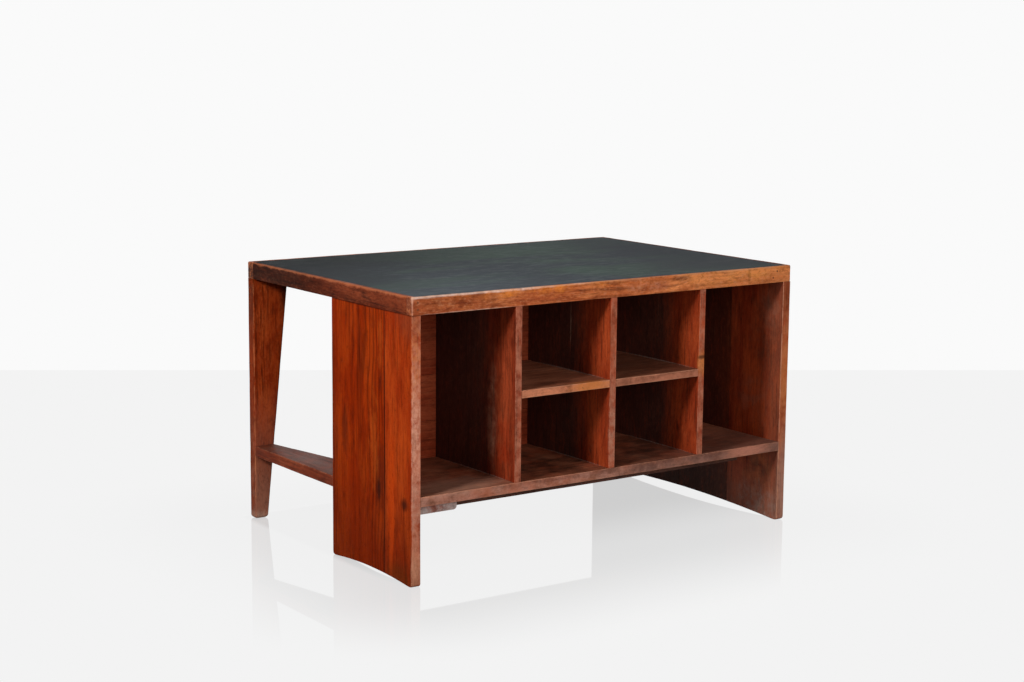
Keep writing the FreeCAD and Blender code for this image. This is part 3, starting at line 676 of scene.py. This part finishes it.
leftPanelFront = {
    **leftPanel, "pith": (leftX + 0.09, -0.36, 0), "slide": 2.1, "figure": 0.45,
    "pale": (170, 62, 14), "middle": (147, 43, 6),
    "patches": [
        stain((leftX, -0.321, 0.20), (0.05, 0.024, 0.28), (196, 64, 6), 0.5),
        stain((leftX, -0.381, 0.20), (0.05, 0.022, 0.024), knotTone, 0.85, ragged=1.0),
        stain((leftX, frontY, 0.03), (0.05, 0.008, 0.09), (192, 136, 106), 0.6),
        stain((leftX, -0.36, 0.01), (0.05, 0.09, 0.06), (88, 44, 14), 0.5, ragged=1.5),
        stain((leftX, frontY, railUnder), (0.05, 0.11, 0.09), (112, 50, 28), 0.6),
        stain((leftX, frontY, 0.56), (0.05, 0.006, 0.16), (190, 110, 66), 0.8, mottled=70),
        stain((leftX, frontY, 0.36), (0.05, 0.006, 0.24), (216, 160, 134), 0.6, mottled=90),
        stain((leftX, frontY, 0.20), (0.05, 0.006, 0.10), (176, 126, 106), 0.7, mottled=70),
        leftSeam, underRail,
    ],
}
makePanelBoard("leftPanelFrontBoard", "left_panel_front_board", leftPanelFront, -1, leftArch)

rightPanel = {
    **innerTeak, "grain": "z", "lineShow": 0.5, "speckle": 0.15,
    "facings": [{**paleEdge, "tone": (184, 108, 70)}],
    "worn": wornBox((rightX - panel["thickness"], frontY, -far), (rightX, rearY, far)),
    "patches": [
        stain((rightX, frontY, 0.40), (0.05, 0.01, 0.16), (192, 110, 58), 0.6, ragged=0.6),
        stain((rightX, frontY, 0.08), (0.05, 0.01, 0.24), (158, 118, 102), 0.8, ragged=0.6),
        stain((rightX, frontY, 0.64), (0.05, 0.01, 0.12), (122, 54, 28), 0.85, ragged=0.6),
        stain((panelInner, -0.37, 0.59), (0.01, 0.06, 0.10), (160, 112, 90), 0.35, mottled=30),
        stain((panelInner, -0.30, 0.33), (0.01, 0.08, 0.09), (144, 102, 84), 0.3, mottled=30),
        stain((panelInner, -0.35, 0.52), (0.01, 0.08, 0.17), (78, 48, 36), 0.55, mottled=18),
        stain((panelInner, -0.33, 0.13), (0.01, 0.08, 0.10), (186, 104, 62), 0.7, mottled=26),
        stain((panelInner, -0.33, 0.14), (0.01, 0.07, 0.07), (70, 48, 40), 0.6, mottled=40),
        stain((panelInner, -0.34, 0.03), (0.01, 0.14, 0.08), (146, 122, 110), 0.6, mottled=34),
    ],
    "shades": [
        fade(toTop, 0.2, 0.0, (136, 92, 74), 0.6, toLeft),
        # dust and painted shade: the inside face darkens toward the rear of the case
        fade(toRear, -0.30, -0.10, (60, 38, 32), 0.7, toLeft, ragged=0.1),
        fade(toRear, -0.31, -0.40, (116, 78, 60), 0.45, toLeft, ragged=0.1),
    ],
}
# painted shade on the inside faces of the rear boards, deep in the case
paintedShadeInside = fade(toRear, -0.26, -0.23, (40, 27, 23), 0.65, toLeft)
for number in range(1, panel["rightBoards"] + 1):  # each board shows another part of the grain
    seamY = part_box(f"right_panel_board_{number}")[0].y
    look = {**rightPanel, "slide": 3.3 + 0.7 * number, "pith": (rightX + 0.05, -0.5 + 0.2 * number, 0)}
    if number > 1:
        look["patches"] = [*rightPanel["patches"], jointLine((rightX, seamY, 0.33), (0.04, 0.004, 0.6))]
        # the rear boards get the painted shade on their inside faces
        look["shades"] = [*rightPanel["shades"], paintedShadeInside]
    makePanelBoard(f"rightPanelBoard{number}", f"right_panel_board_{number}", look, 1, rightArch)
print("end panels made")

bottomShelf = {
    **shelfTeak, "grain": "x", "pith": (0, -0.3, 0.16), "slide": 0.9, "facings": [shelfEdge],
    "patches": [
        stain((0.65, -0.38, 0.21), (0.8, 0.3, 0.1), (112, 78, 68), 0.7, ragged=0.5),
        stain((0, -0.25, shelfTop), (0.8, 0.3, 0.02), (150, 66, 40), 0.7, ragged=0.3, mottled=9),
        stain((0, -0.25, shelfTop), (0.8, 0.3, 0.02), (52, 29, 22), 0.85, ragged=0.3, mottled=13),
        stain((-0.45, -0.36, shelfTop), (0.2, 0.12, 0.02), (170, 130, 110), 0.5),
        stain((-0.30, frontY, 0.21), (0.30, 0.01, 0.03), (168, 92, 66), 0.6, mottled=22),
        stain((0.16, frontY, 0.21), (0.30, 0.01, 0.03), (92, 64, 56), 0.6, mottled=26),
        stain((0.47, frontY, 0.21), (0.10, 0.01, 0.03), (196, 126, 102), 0.65),
    ],
    "worn": wornBox((-far, frontY, shelfLow), (far, far, shelfTop), 0.004, 0.5),
}


def atFrontFace(spot):
    return abs(spot.y - frontY) < near


def makeShelfBoard(name, node, look, leftEnd, rightEnd):
    low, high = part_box(node)
    low.x, high.x = leftEnd, rightEnd
    makeBoard(name, node, look, low, high, atFrontFace, sliceAxis=xAxis)


makeShelfBoard("bottomShelfFrontBoard", "bottom_shelf_front_board", bottomShelf, -panelInner, panelInner)
bottomShelfRear = {**bottomShelf, "slide": 2.2}
makeShelfBoard("bottomShelfRearBoard", "bottom_shelf_rear_board", bottomShelfRear, -panelInner, panelInner)

# uprights: the front board is notched round the front rail
upright = {**board, "plainRadius": 0.0003, "seedStep": 1, "thickness": 0.020, "notch": 0.025}
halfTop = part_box("half_shelf_left_front_board")[1].z
# dust lies along the joints at these heights
dustLevels = {"left": [shelfTop], "middle": [shelfTop, halfTop], "right": [shelfTop, halfTop]}
orangeSpot = [
    stain((rightX / 2, frontY, 0.468), (0.05, 0.01, 0.045), (212, 130, 68), 0.6, ragged=0.6),
    stain((rightX / 2, frontY, 0.485), (0.05, 0.01, 0.008), (58, 30, 18), 0.8),
]
gluePlace = stain((-0.010, -0.245, 0.585), (0.004, 0.003, 0.07), (176, 140, 118), 0.7)
for name in ("left", "middle", "right"):
    frontNode, rearNode = f"divider_{name}_front_board", f"divider_{name}_rear_board"
    low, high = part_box(frontNode)
    middleX = (low.x + high.x) / 2
    leftFace, rightFace = middleX - upright["thickness"] / 2, middleX + upright["thickness"] / 2
    look = {  # the slide depends on the place, so each upright shows another part of the grain
        **innerTeak, "grain": "z", "pith": (middleX + 0.05, -0.33, 0), "slide": 5 * middleX + 2,
        "facings": [{**paleEdge, "tone": (178, 112, 86)}],
        # dust and painted shade toward the rear of the pigeonhole
        "shades": [deepDustAndShade],
        "patches": [stain((leftFace, -0.24, level), (0.004, 0.19, 0.0035), dustTone, 0.6, ragged=0.6)
                    for level in dustLevels[name]],
        "worn": wornBox((leftFace, frontY, -far), (rightFace, far, far), 0.002, 0.45, least=0.0004),
    }
    if name == "left":
        look.update(pale=(160, 67, 36), middle=(132, 46, 22))
        look["patches"] += [
            stain((leftFace, frontY + 0.06, 0.31), (0.005, 0.06, 0.09), (156, 44, 14), 0.6, mottled=20),
            stain((leftFace, frontY + 0.102, 0.38), (0.005, 0.030, 0.20), (176, 124, 98), 0.7, mottled=22),
        ]
    if name == "middle":
        look["patches"] += [
            gluePlace,
            stain((0, frontY, 0.58), (0.05, 0.008, 0.14), (122, 58, 34), 0.65, mottled=60),
            stain((0, frontY, 0.32), (0.05, 0.008, 0.12), (174, 126, 104), 0.65, mottled=60),
        ]
    if name == "right":
        look["patches"] += orangeSpot
    notchY = low.y + upright["notch"]
    elevation = [
        (low.y, shelfTop), (high.y, shelfTop), (high.y, high.z),
        (notchY, high.z), (notchY, railUnder), (low.y, railUnder),
    ]
    outline = [Vector((leftFace, y, z)) for y, z in elevation]
    shape = startOutline(outline, Vector((upright["thickness"], 0, 0)))
    frontEdges = sharpEdges(shape, lambda spot: atFrontFace(spot) and shelfTop < spot.z < railUnder)
    roundEdges(shape, frontEdges, upright["wornRadius"], 3)
    finishBoard(f"divider{name.title()}FrontBoard", frontNode, shape, look, zAxis, upright)
    rearLow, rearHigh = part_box(rearNode)
    rearLow.x, rearHigh.x, rearLow.z = leftFace, rightFace, shelfTop
    rearLook = {**look, "slide": 5 * middleX + 3.9, "pith": (middleX + 0.03, -0.16, 0)}
    makeBoard(f"divider{name.title()}RearBoard", rearNode, rearLook, rearLow, rearHigh)
print("uprights made")

halfShelf = {"housing": 0.005}
for name, slide, edgeTone in (("left", 0.2, (208, 130, 94)), ("right", 1.4, (178, 112, 86))):
    frontNode, rearNode = f"half_shelf_{name}_front_board", f"half_shelf_{name}_rear_board"
    low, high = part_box(frontNode)
    leftEnd, rightEnd = low.x + halfShelf["housing"], high.x - halfShelf["housing"]
    look = {
        **shelfTeak, "grain": "x", "pith": (0, -0.3, 0.40), "slide": slide,
        "facings": [{**paleEdge, "tone": edgeTone}],
        "worn": wornBox((-far, frontY, low.z), (far, far, high.z), 0.004),
    }
    if name == "left":
        look["patches"] = [stain((rightEnd - 0.06, frontY, 0.444), (0.09, 0.03, 0.05), (206, 122, 60), 0.7)]
    if name == "right":
        look["patches"] = [stain((0.15, -0.2, high.z), (0.3, 0.3, 0.006), (78, 46, 34), 0.7, ragged=1.0)]
    makeShelfBoard(f"halfShelf{name.title()}FrontBoard", frontNode, look, leftEnd, rightEnd)
    rearLook = {**look, "slide": slide + 0.8}
    makeShelfBoard(f"halfShelf{name.title()}RearBoard", rearNode, rearLook, leftEnd, rightEnd)
print("shelves made")

backBoard = {
    **innerTeak, "grain": "x", "pale": (164, 74, 45), "middle": (144, 56, 32), "dark": (62, 23, 13),
    "figure": 0.5, "ringShow": 0.2, "lineShow": 0.4,
}
backMake = {**board, "plainRadius": 0.0012, "count": 4, "tongue": 0.006}
for number in range(1, backMake["count"] + 1):
    low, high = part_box(f"back_board_{number}")
    low.x, high.x = -panelInner, panelInner
    if number < backMake["count"]:
        high.z -= backMake["tongue"]  # it is inside the next board
    look = {**backBoard, "pith": (0, 0.0, 0.10 + 0.12 * number), "slide": 0.6 * number}
    makeBoard(f"backBoard{number}", f"back_board_{number}", look, low, high, sliceAxis=xAxis, make=backMake)
print("back made")

# nails hold the back boards to the uprights: only the heads show, on the sitter's side
nails = {
    "headRadius": 0.003, "rimShare": 0.7, "headHeight": 0.0012, "sunk": 0.0002, "inset": 0.022,
    "pale": (74, 66, 60), "dark": (30, 26, 24),
}


def makeNailSteel(look):
    material, tree, shader = newPrincipled("nailSteel")
    coords = tree.nodes.new("ShaderNodeTexCoord").outputs["Object"]
    rust = noiseAt(tree, coords, (400, 400, 400), detail=4, rough=0.6)
    dark, pale = screenColour(*look["dark"]), screenColour(*look["pale"])
    tree.links.new(mixColour(tree, ease(tree, rust, 0.35, 0.65), dark, pale), shader.inputs["Base Color"])
    tree.links.new(ease(tree, rust, 0.3, 0.7, 0.4, 0.65), shader.inputs["Roughness"])
    shader.inputs["Metallic"].default_value = 0.7
    return material


def makeNails(look):
    shape = bmesh.new()
    y = caseRear + look["headHeight"] / 2 - look["sunk"]
    rimRadius = look["headRadius"] * look["rimShare"]
    for number in range(1, backMake["count"] + 1):
        low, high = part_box(f"back_board_{number}")
        for side in ("left", "middle", "right"):
            sideLow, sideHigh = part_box(f"divider_{side}_rear_board")
            x = (sideLow.x + sideHigh.x) / 2
            for z in (low.z + look["inset"], high.z - look["inset"]):
                turn = Matrix.Translation((x, y, z)) @ Matrix.Rotation(math.radians(-90), 4, "X")
                bmesh.ops.create_cone(shape, cap_ends=True, segments=12, radius1=look["headRadius"],
                                      radius2=rimRadius, depth=look["headHeight"], matrix=turn)
    finishPiece("backNails", shape, makeNailSteel(look), [])


makeNails(nails)

leftLeg = {
    **legTeak, "grain": "z", "pith": (leftX + 0.05, 0.30, 0), "slide": 1.2,
    "topWidth": 0.107, "footWidth": 0.0385, "round": 0.003, "footRound": 0.008,
    "sliceStep": 0.04, "waviness": 0.0008, "seedStep": 1,
    "worn": wornBox((leftX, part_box("left_leg")[0].y, 0), (far, far, far), 0.005, 0.5, (190, 118, 76)),
    "facings": [{"toward": toLeft, "tone": (124, 46, 16), "amount": 0.8}],
    "patches": [
        stain((leftX + 0.02, 0.40, 0), (0.06, 0.06, 0.03), (184, 148, 128), 0.6),
        # painted shadow of the rail over the top of the leg
        stain((leftX + 0.09, 0.385, railUnder), (0.09, 0.04, 0.05), (30, 13, 8), 0.85, ragged=0.6),
        stain((leftX + 0.105, 0.385, 0.62), (0.04, 0.04, 0.08), (40, 12, 5), 0.7, ragged=0.6),
    ],
    "shades": [
        fade(toTop, 0.40, 0.0, (140, 100, 82), 0.75),
        # painted shade under the rail at the top of the leg's outer face
        fade(toTop, 0.42, 0.64, (58, 32, 20), 0.8, toLeft),
    ],
}


def makeLeg(look):
    low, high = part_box("left_leg")
    corners = [(0, 0), (look["footWidth"], 0), (look["topWidth"], railUnder), (0, railUnder)]
    shape = startOutline([Vector((leftX + x, low.y, z)) for x, z in corners], Vector((0, high.y - low.y, 0)))
    roundEdges(shape, sharpEdges(shape, lambda spot: spot.z < near), look["footRound"], 4)
    roundEdges(shape, sharpEdges(shape, lambda spot: spot.z < railUnder - near), look["round"], 4)
    finishBoard("leftLeg", "left_leg", shape, look, zAxis, look)


makeLeg(leftLeg)

leftStretcher = {
    **shelfTeak, "grain": "y", "pith": (leftX + 0.03, 0, 0.12), "slide": 0.5,
    "pale": (152, 68, 35), "middle": (118, 46, 22), "dark": (48, 20, 12),
    "legWidth": 0.0566, "round": 0.0025, "innerRound": 0.009, "innerFrom": 0.03,
    "plainRadius": 0.0005, "sliceStep": 0.04, "waviness": 0.0006, "seedStep": 1,
    "facings": [
        {"toward": toFront, "tone": (166, 148, 142), "amount": 1.0},
        {"toward": toTop, "tone": (104, 68, 54), "amount": 0.75},
    ],
    "worn": wornBox((leftX, -far, 0.176), (far, far, 0.205), 0.005, 0.5, (170, 108, 80)),
}


def makeStretcher(look):
    low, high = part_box("left_stretcher")
    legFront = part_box("left_leg")[0].y
    panelX = -panelInner
    shape = bmesh.new()
    plan = [  # behind the case
        (leftX, caseRear), (panelX, caseRear), (high.x, caseRear),
        (leftX + look["legWidth"], legFront), (leftX, legFront),
    ]
    tail = [shape.verts.new((x, y, low.z)) for x, y in plan]
    frontCorners = [shape.verts.new((x, low.y, low.z)) for x in (high.x, panelX)]
    faces = [shape.faces.new(tail), shape.faces.new([tail[1], tail[2], *frontCorners])]
    sweepFaces(shape, faces, (0, 0, shelfLow - low.z))
    # only the part behind the case stands higher than the shelf's underside
    behind = facesWhere(shape, lambda spot: spot.z > shelfLow - near and spot.y > caseRear)
    sweepFaces(shape, behind, (0, 0, high.z - shelfLow))
    bmesh.ops.delete(shape, geom=behind, context="FACES_ONLY")
    bmesh.ops.recalc_face_normals(shape, faces=shape.faces)
    bmesh.ops.dissolve_limit(shape, angle_limit=0.01, verts=shape.verts, edges=shape.edges)

    def lowerInner(spot):
        return spot.z < low.z + near and spot.x > panelX + look["innerFrom"] and spot.y > low.y + near

    def outerBehind(spot):
        return spot.x < leftX + near and spot.y > caseRear + near

    roundEdges(shape, sharpEdges(shape, lowerInner), look["innerRound"], 4)
    roundEdges(shape, sharpEdges(shape, outerBehind), look["round"], 3)
    finishBoard("leftStretcher", "left_stretcher", shape, look, yAxis, look)


makeStretcher(leftStretcher)

batten = {
    **shelfTeak, "grain": "x", "pith": (0, -0.3, 0.05), "slide": 0.1,
    # tones darkened as painted shade under the shelf
    "pale": (96, 60, 48), "middle": (78, 48, 38), "dark": (40, 26, 22), "wornBelow": 0.18,
}


def battenUnderside(spot):
    return spot.z < batten["wornBelow"]


makeBoard("shelfBatten", "shelf_batten", batten, wornAt=battenUnderside, sliceAxis=xAxis)
topBoards = {**shelfTeak, "grain": "x", "pith": (0, 0, 0.5), "slide": 0.7, "count": 5}
topBoardNodes = [f"top_board_{number}" for number in range(1, topBoards["count"] + 1)]
dress(topBoardNodes, makeTeak("topBoardTeak", topBoards))
print("leg, stretcher and batten made")

# filled fixing holes: low domed plugs, a hair proud of the rail
plugs = {
    **shelfTeak, "grain": "y", "pith": (0, 0, 0.69), "slide": 0.2,
    "pale": (124, 70, 44), "middle": (104, 56, 34), "radius": 0.0035, "depth": 0.0050, "rimRound": 0.0008,
    "places": [(-0.594, 0.697), (-0.594, 0.680), (0.560, 0.697), (0.546, 0.680)],
}


def makePlugs(look):
    shape = bmesh.new()
    for x, z in look["places"]:
        place = Matrix.Translation((x, frontY + look["depth"] / 2, z))
        turn = place @ Matrix.Rotation(math.radians(90), 4, "X")
        made = bmesh.ops.create_cone(shape, cap_ends=True, segments=20, radius1=look["radius"],
                                     radius2=look["radius"], depth=look["depth"], matrix=turn)
        frontPoints = [vertex for vertex in made["verts"] if vertex.co.y < frontY + near]
        rim = [edge for edge in shape.edges if all(vertex in frontPoints for vertex in edge.verts)]
        roundEdges(shape, rim, look["rimRound"], 2)
    finishPiece("frontRailPlugs", shape, makeTeak("plugTeak", look), ["front_rail_plugs"])


makePlugs(plugs)


def makeLeather(look):
    material, tree, shader = newPrincipled("slateLeather")
    coords = tree.nodes.new("ShaderNodeTexCoord").outputs["Object"]
    clouds = noiseAt(tree, coords, (1.8, 5, 1), detail=4, rough=0.6, twist=0.4)
    mottle = noiseAt(tree, coords, (20, 56, 1), detail=8, rough=0.75)
    ragged = calc(tree, "SUBTRACT", noiseAt(tree, coords, (60, 60, 60), detail=5, rough=0.65), 0.5)
    base, green, worn, dark = (screenColour(*look[tone]) for tone in ("base", "green", "worn", "dark"))
    colour = mixColour(tree, ease(tree, clouds, 0.42, 0.62), base, green)
    colour = mixColour(tree, ease(tree, mottle, 0.46, 0.64, 0.0, 0.5), colour, worn)
    colour = mixColour(tree, ease(tree, mottle, 0.49, 0.34, 0.0, 0.45), colour, dark)
    colour = paintPatches(tree, coords, colour, look["patches"], ragged)
    tree.links.new(colour, shader.inputs["Base Color"])
    tree.links.new(ease(tree, mottle, 0.3, 0.7, 0.46, 0.6), shader.inputs["Roughness"])
    shader.inputs["Specular IOR Level"].default_value = look["shine"]
    pebble = tree.nodes.new("ShaderNodeTexVoronoi")
    pebble.inputs["Scale"].default_value = look["pebbles"]
    tree.links.new(coords, pebble.inputs["Vector"])
    addBump(tree, shader, pebble.outputs["Distance"], strength=0.2, distance=0.0005)
    return material


leatherTop = {
    "base": (68, 75, 82), "green": (76, 96, 86), "worn": (118, 126, 128), "dark": (40, 45, 50),
    "shine": 0.012, "pebbles": 700,  # per metre
    "columns": 90, "rows": 60, "ripple": 0.0003, "ripplesPerMetre": (5, 7), "rolledEdge": 0.0006,
    "patches": [
        # lighter near-left corner: wear, and a painted sheen
        stain((leftX, frontY, topZ), (0.8, 0.45, 1), (112, 120, 128), 0.2, ragged=0.3),
        stain((leftX, rearY, topZ), (0.9, 0.6, 1), (32, 36, 40), 0.9, ragged=0.3),
        stain((rightX, 0.0, topZ), (0.45, 0.8, 1), (58, 62, 70), 0.8, ragged=0.3),
        stain((leftX, -0.05, topZ), (0.28, 0.42, 1), (46, 50, 53), 0.6, ragged=0.3),
        stain((0.40, -0.28, topZ), (0.32, 0.2, 1), (66, 68, 74), 0.6, ragged=0.3),
    ],
}


def layLeather(look):
    low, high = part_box("leather_top")
    size = high - low
    shape = bmesh.new()
    bmesh.ops.create_grid(shape, x_segments=look["columns"], y_segments=look["rows"], size=0.5)
    bmesh.ops.scale(shape, vec=(size.x, size.y, 1), verts=shape.verts)
    bmesh.ops.translate(shape, vec=((low.x + high.x) / 2, (low.y + high.y) / 2, high.z), verts=shape.verts)
    perX, perY = look["ripplesPerMetre"]
    for vertex in shape.verts:
        dip = abs(noise.noise(Vector((vertex.co.x * perX, vertex.co.y * perY, 0))))
        rolled = look["rolledEdge"] if vertex.is_boundary else 0
        vertex.co.z -= look["ripple"] * dip + rolled
    under = bmesh.ops.extrude_face_region(shape, geom=shape.faces[:])["geom"]
    for vertex in onlyPoints(under):
        vertex.co.z = low.z
    bmesh.ops.recalc_face_normals(shape, faces=shape.faces)
    piece = finishPiece("leatherTop", shape, makeLeather(look), ["leather_top"])


layLeather(leatherTop)
print("leather laid")

# camera: found by fitting the desk's corners to the photo
photoCamera = {
    "place": (-3.04544, -4.253211, 1.347056), "azimuth": -35.387, "elevation": 9.234, "roll": 0.52,
    "focalPixels": 1939.9, "imageWidth": 1024, "imageHeight": 682, "sensor": 36.0,
}


def cameraAxes(look):
    turn, tilt, roll = (math.radians(look[key]) for key in ("azimuth", "elevation", "roll"))
    back = Vector((math.sin(turn) * math.cos(tilt), -math.cos(turn) * math.cos(tilt), math.sin(tilt)))
    level = Vector((math.cos(turn), math.sin(turn), 0))
    upward = back.cross(level)
    right = level * math.cos(roll) + upward * math.sin(roll)
    up = upward * math.cos(roll) - level * math.sin(roll)
    return right, up, back


def addCamera(look):
    right, up, back = cameraAxes(look)
    lens = bpy.data.cameras.new("photoCamera")
    lens.sensor_fit = "HORIZONTAL"
    lens.sensor_width = look["sensor"]
    lens.lens = look["focalPixels"] * look["sensor"] / look["imageWidth"]
    camera = bpy.data.objects.new("photoCamera", lens)
    turned = Matrix((right, up, back)).transposed().to_4x4()
    camera.matrix_world = Matrix.Translation(look["place"]) @ turned
    scene.collection.objects.link(camera)
    scene.camera = camera


def floorPoint(look, pixelX, pixelY):  # where a point of the image lies on the floor
    right, up, back = cameraAxes(look)
    across = (pixelX - look["imageWidth"] / 2) / look["focalPixels"]
    down = (pixelY - look["imageHeight"] / 2) / look["focalPixels"]
    ray = right * across - up * down - back
    start = Vector(look["place"])
    return start - ray * (start.z / ray.z)


addCamera(photoCamera)

studio = {
    "horizonPixel": 370, "floorTone": (243, 243, 243), "wallTone": (250, 250, 250),
    "floorMirror": 0.185, "mirrorReach": 0.58, "underMirror": 0.13, "underEdge": 0.03,
    "mirrorRoughness": 0.03, "floorGrey": 0.5,
    "floorDrop": 0.0006, "nearReach": 9.0, "sideReach": 6.0, "backdropHeight": 2.2,
    "key": {"fromDirection": (-1.0, -0.36, 0.50), "away": 3.4, "size": 0.5, "power": 72},
    "fill": {"fromDirection": (-0.08, -1.0, 0.32), "away": 4.4, "size": 2.4, "power": 96},
    "aimHeight": 0.4, "ambient": 0.07,
}


def addStage(look):
    left = floorPoint(photoCamera, 0, look["horizonPixel"])
    right = floorPoint(photoCamera, photoCamera["imageWidth"], look["horizonPixel"])
    along = (right - left).normalized()
    nearer = Vector((along.y, -along.x, 0)) * look["nearReach"]
    left, right = left - along * look["sideReach"], right + along * look["sideReach"]
    drop = Vector((0, 0, -look["floorDrop"]))
    addSheet("studioFloor", [left + nearer + drop, right + nearer + drop, right + drop, left + drop],
             floorMaterial(look))
    rise = Vector((0, 0, look["backdropHeight"]))
    addSheet("studioBackdrop", [left + drop, right + drop, right + rise, left + rise], backdropMaterial(look))


def addSheet(name, corners, material):
    mesh = bpy.data.meshes.new(name)
    shape = bmesh.new()
    shape.faces.new([shape.verts.new(corner) for corner in corners])
    shape.to_mesh(mesh)
    shape.free()
    mesh.materials.append(material)
    sheet = bpy.data.objects.new(name, mesh)
    scene.collection.objects.link(sheet)


def mixShaders(tree, amount, first, second):
    node = tree.nodes.new("ShaderNodeMixShader")
    for value, socket in zip((amount, first, second), node.inputs):
        feed(tree, value, socket)
    return node.outputs[0]


def glowing(tree, tone):
    node = tree.nodes.new("ShaderNodeEmission")
    node.inputs["Color"].default_value = tone
    return node.outputs[0]


def floorMaterial(look):  # even and pale to the eye, with a mirror image that fades away from the desk
    material, tree, surface = newMaterial("paleFloor")
    coords = tree.nodes.new("ShaderNodeTexCoord").outputs["Object"]
    beyond = vectorCalc(tree, "SUBTRACT", vectorCalc(tree, "ABSOLUTE", coords), (rightX, rearY, 0))
    away = vectorCalc(tree, "LENGTH", vectorCalc(tree, "MAXIMUM", beyond, (0, 0, 0)))
    share = ease(tree, away, 0.0, look["mirrorReach"], look["floorMirror"], 0.0)
    depth = vectorCalc(tree, "DOT_PRODUCT", coords, toRear)
    deeper = ease(tree, depth, frontY, 0.0, 0.0, look["underMirror"])
    under = ease(tree, away, 0.0, look["underEdge"], 1.0, 0.0)
    share = calc(tree, "ADD", share, calc(tree, "MULTIPLY", deeper, under))
    mirror = tree.nodes.new("ShaderNodeBsdfGlossy")
    mirror.inputs["Roughness"].default_value = look["mirrorRoughness"]
    plain = tree.nodes.new("ShaderNodeBsdfDiffuse")  # what the desk gets back from the floor
    plain.inputs["Color"].default_value = (look["floorGrey"],) * 3 + (1,)
    seen = mixShaders(tree, share, glowing(tree, screenColour(*look["floorTone"])), mirror.outputs[0])
    toEye = tree.nodes.new("ShaderNodeLightPath").outputs["Is Camera Ray"]
    tree.links.new(mixShaders(tree, toEye, plain.outputs[0], seen), surface)
    return material


def backdropMaterial(look):  # pale from the desk's side, and not there from behind
    material, tree, surface = newMaterial("paleBackdrop")
    behind = tree.nodes.new("ShaderNodeNewGeometry").outputs["Backfacing"]
    clear = tree.nodes.new("ShaderNodeBsdfTransparent").outputs[0]
    wall = glowing(tree, screenColour(*look["wallTone"]))
    tree.links.new(mixShaders(tree, behind, wall, clear), surface)
    return material


def addLight(name, fromDirection, away, size, power):
    lamp = bpy.data.lights.new(name, "AREA")
    lamp.shape = "SQUARE"
    lamp.size = size
    lamp.energy = power
    light = bpy.data.objects.new(name, lamp)
    direction = Vector(fromDirection).normalized()
    light.location = Vector((0, 0, studio["aimHeight"])) + direction * away
    light.rotation_euler = direction.to_track_quat("Z", "Y").to_euler()
    light.visible_glossy = False  # no lamp shows in the floor
    scene.collection.objects.link(light)


def addWorld(look):
    world = bpy.data.worlds.new("studio")
    scene.world = world
    world.use_nodes = True
    tree = world.node_tree
    tree.nodes.clear()
    dim = look["ambient"]
    toEye = tree.nodes.new("ShaderNodeLightPath").outputs["Is Camera Ray"]
    sky = tree.nodes.new("ShaderNodeBackground")
    tone = mixColour(tree, toEye, (dim, dim, dim, 1), screenColour(*look["wallTone"]))
    tree.links.new(tone, sky.inputs["Color"])
    output = tree.nodes.new("ShaderNodeOutputWorld")
    tree.links.new(sky.outputs[0], output.inputs["Surface"])


addStage(studio)
addLight("keyLight", **studio["key"])
addLight("fillLight", **studio["fill"])
addWorld(studio)
print("studio lit")
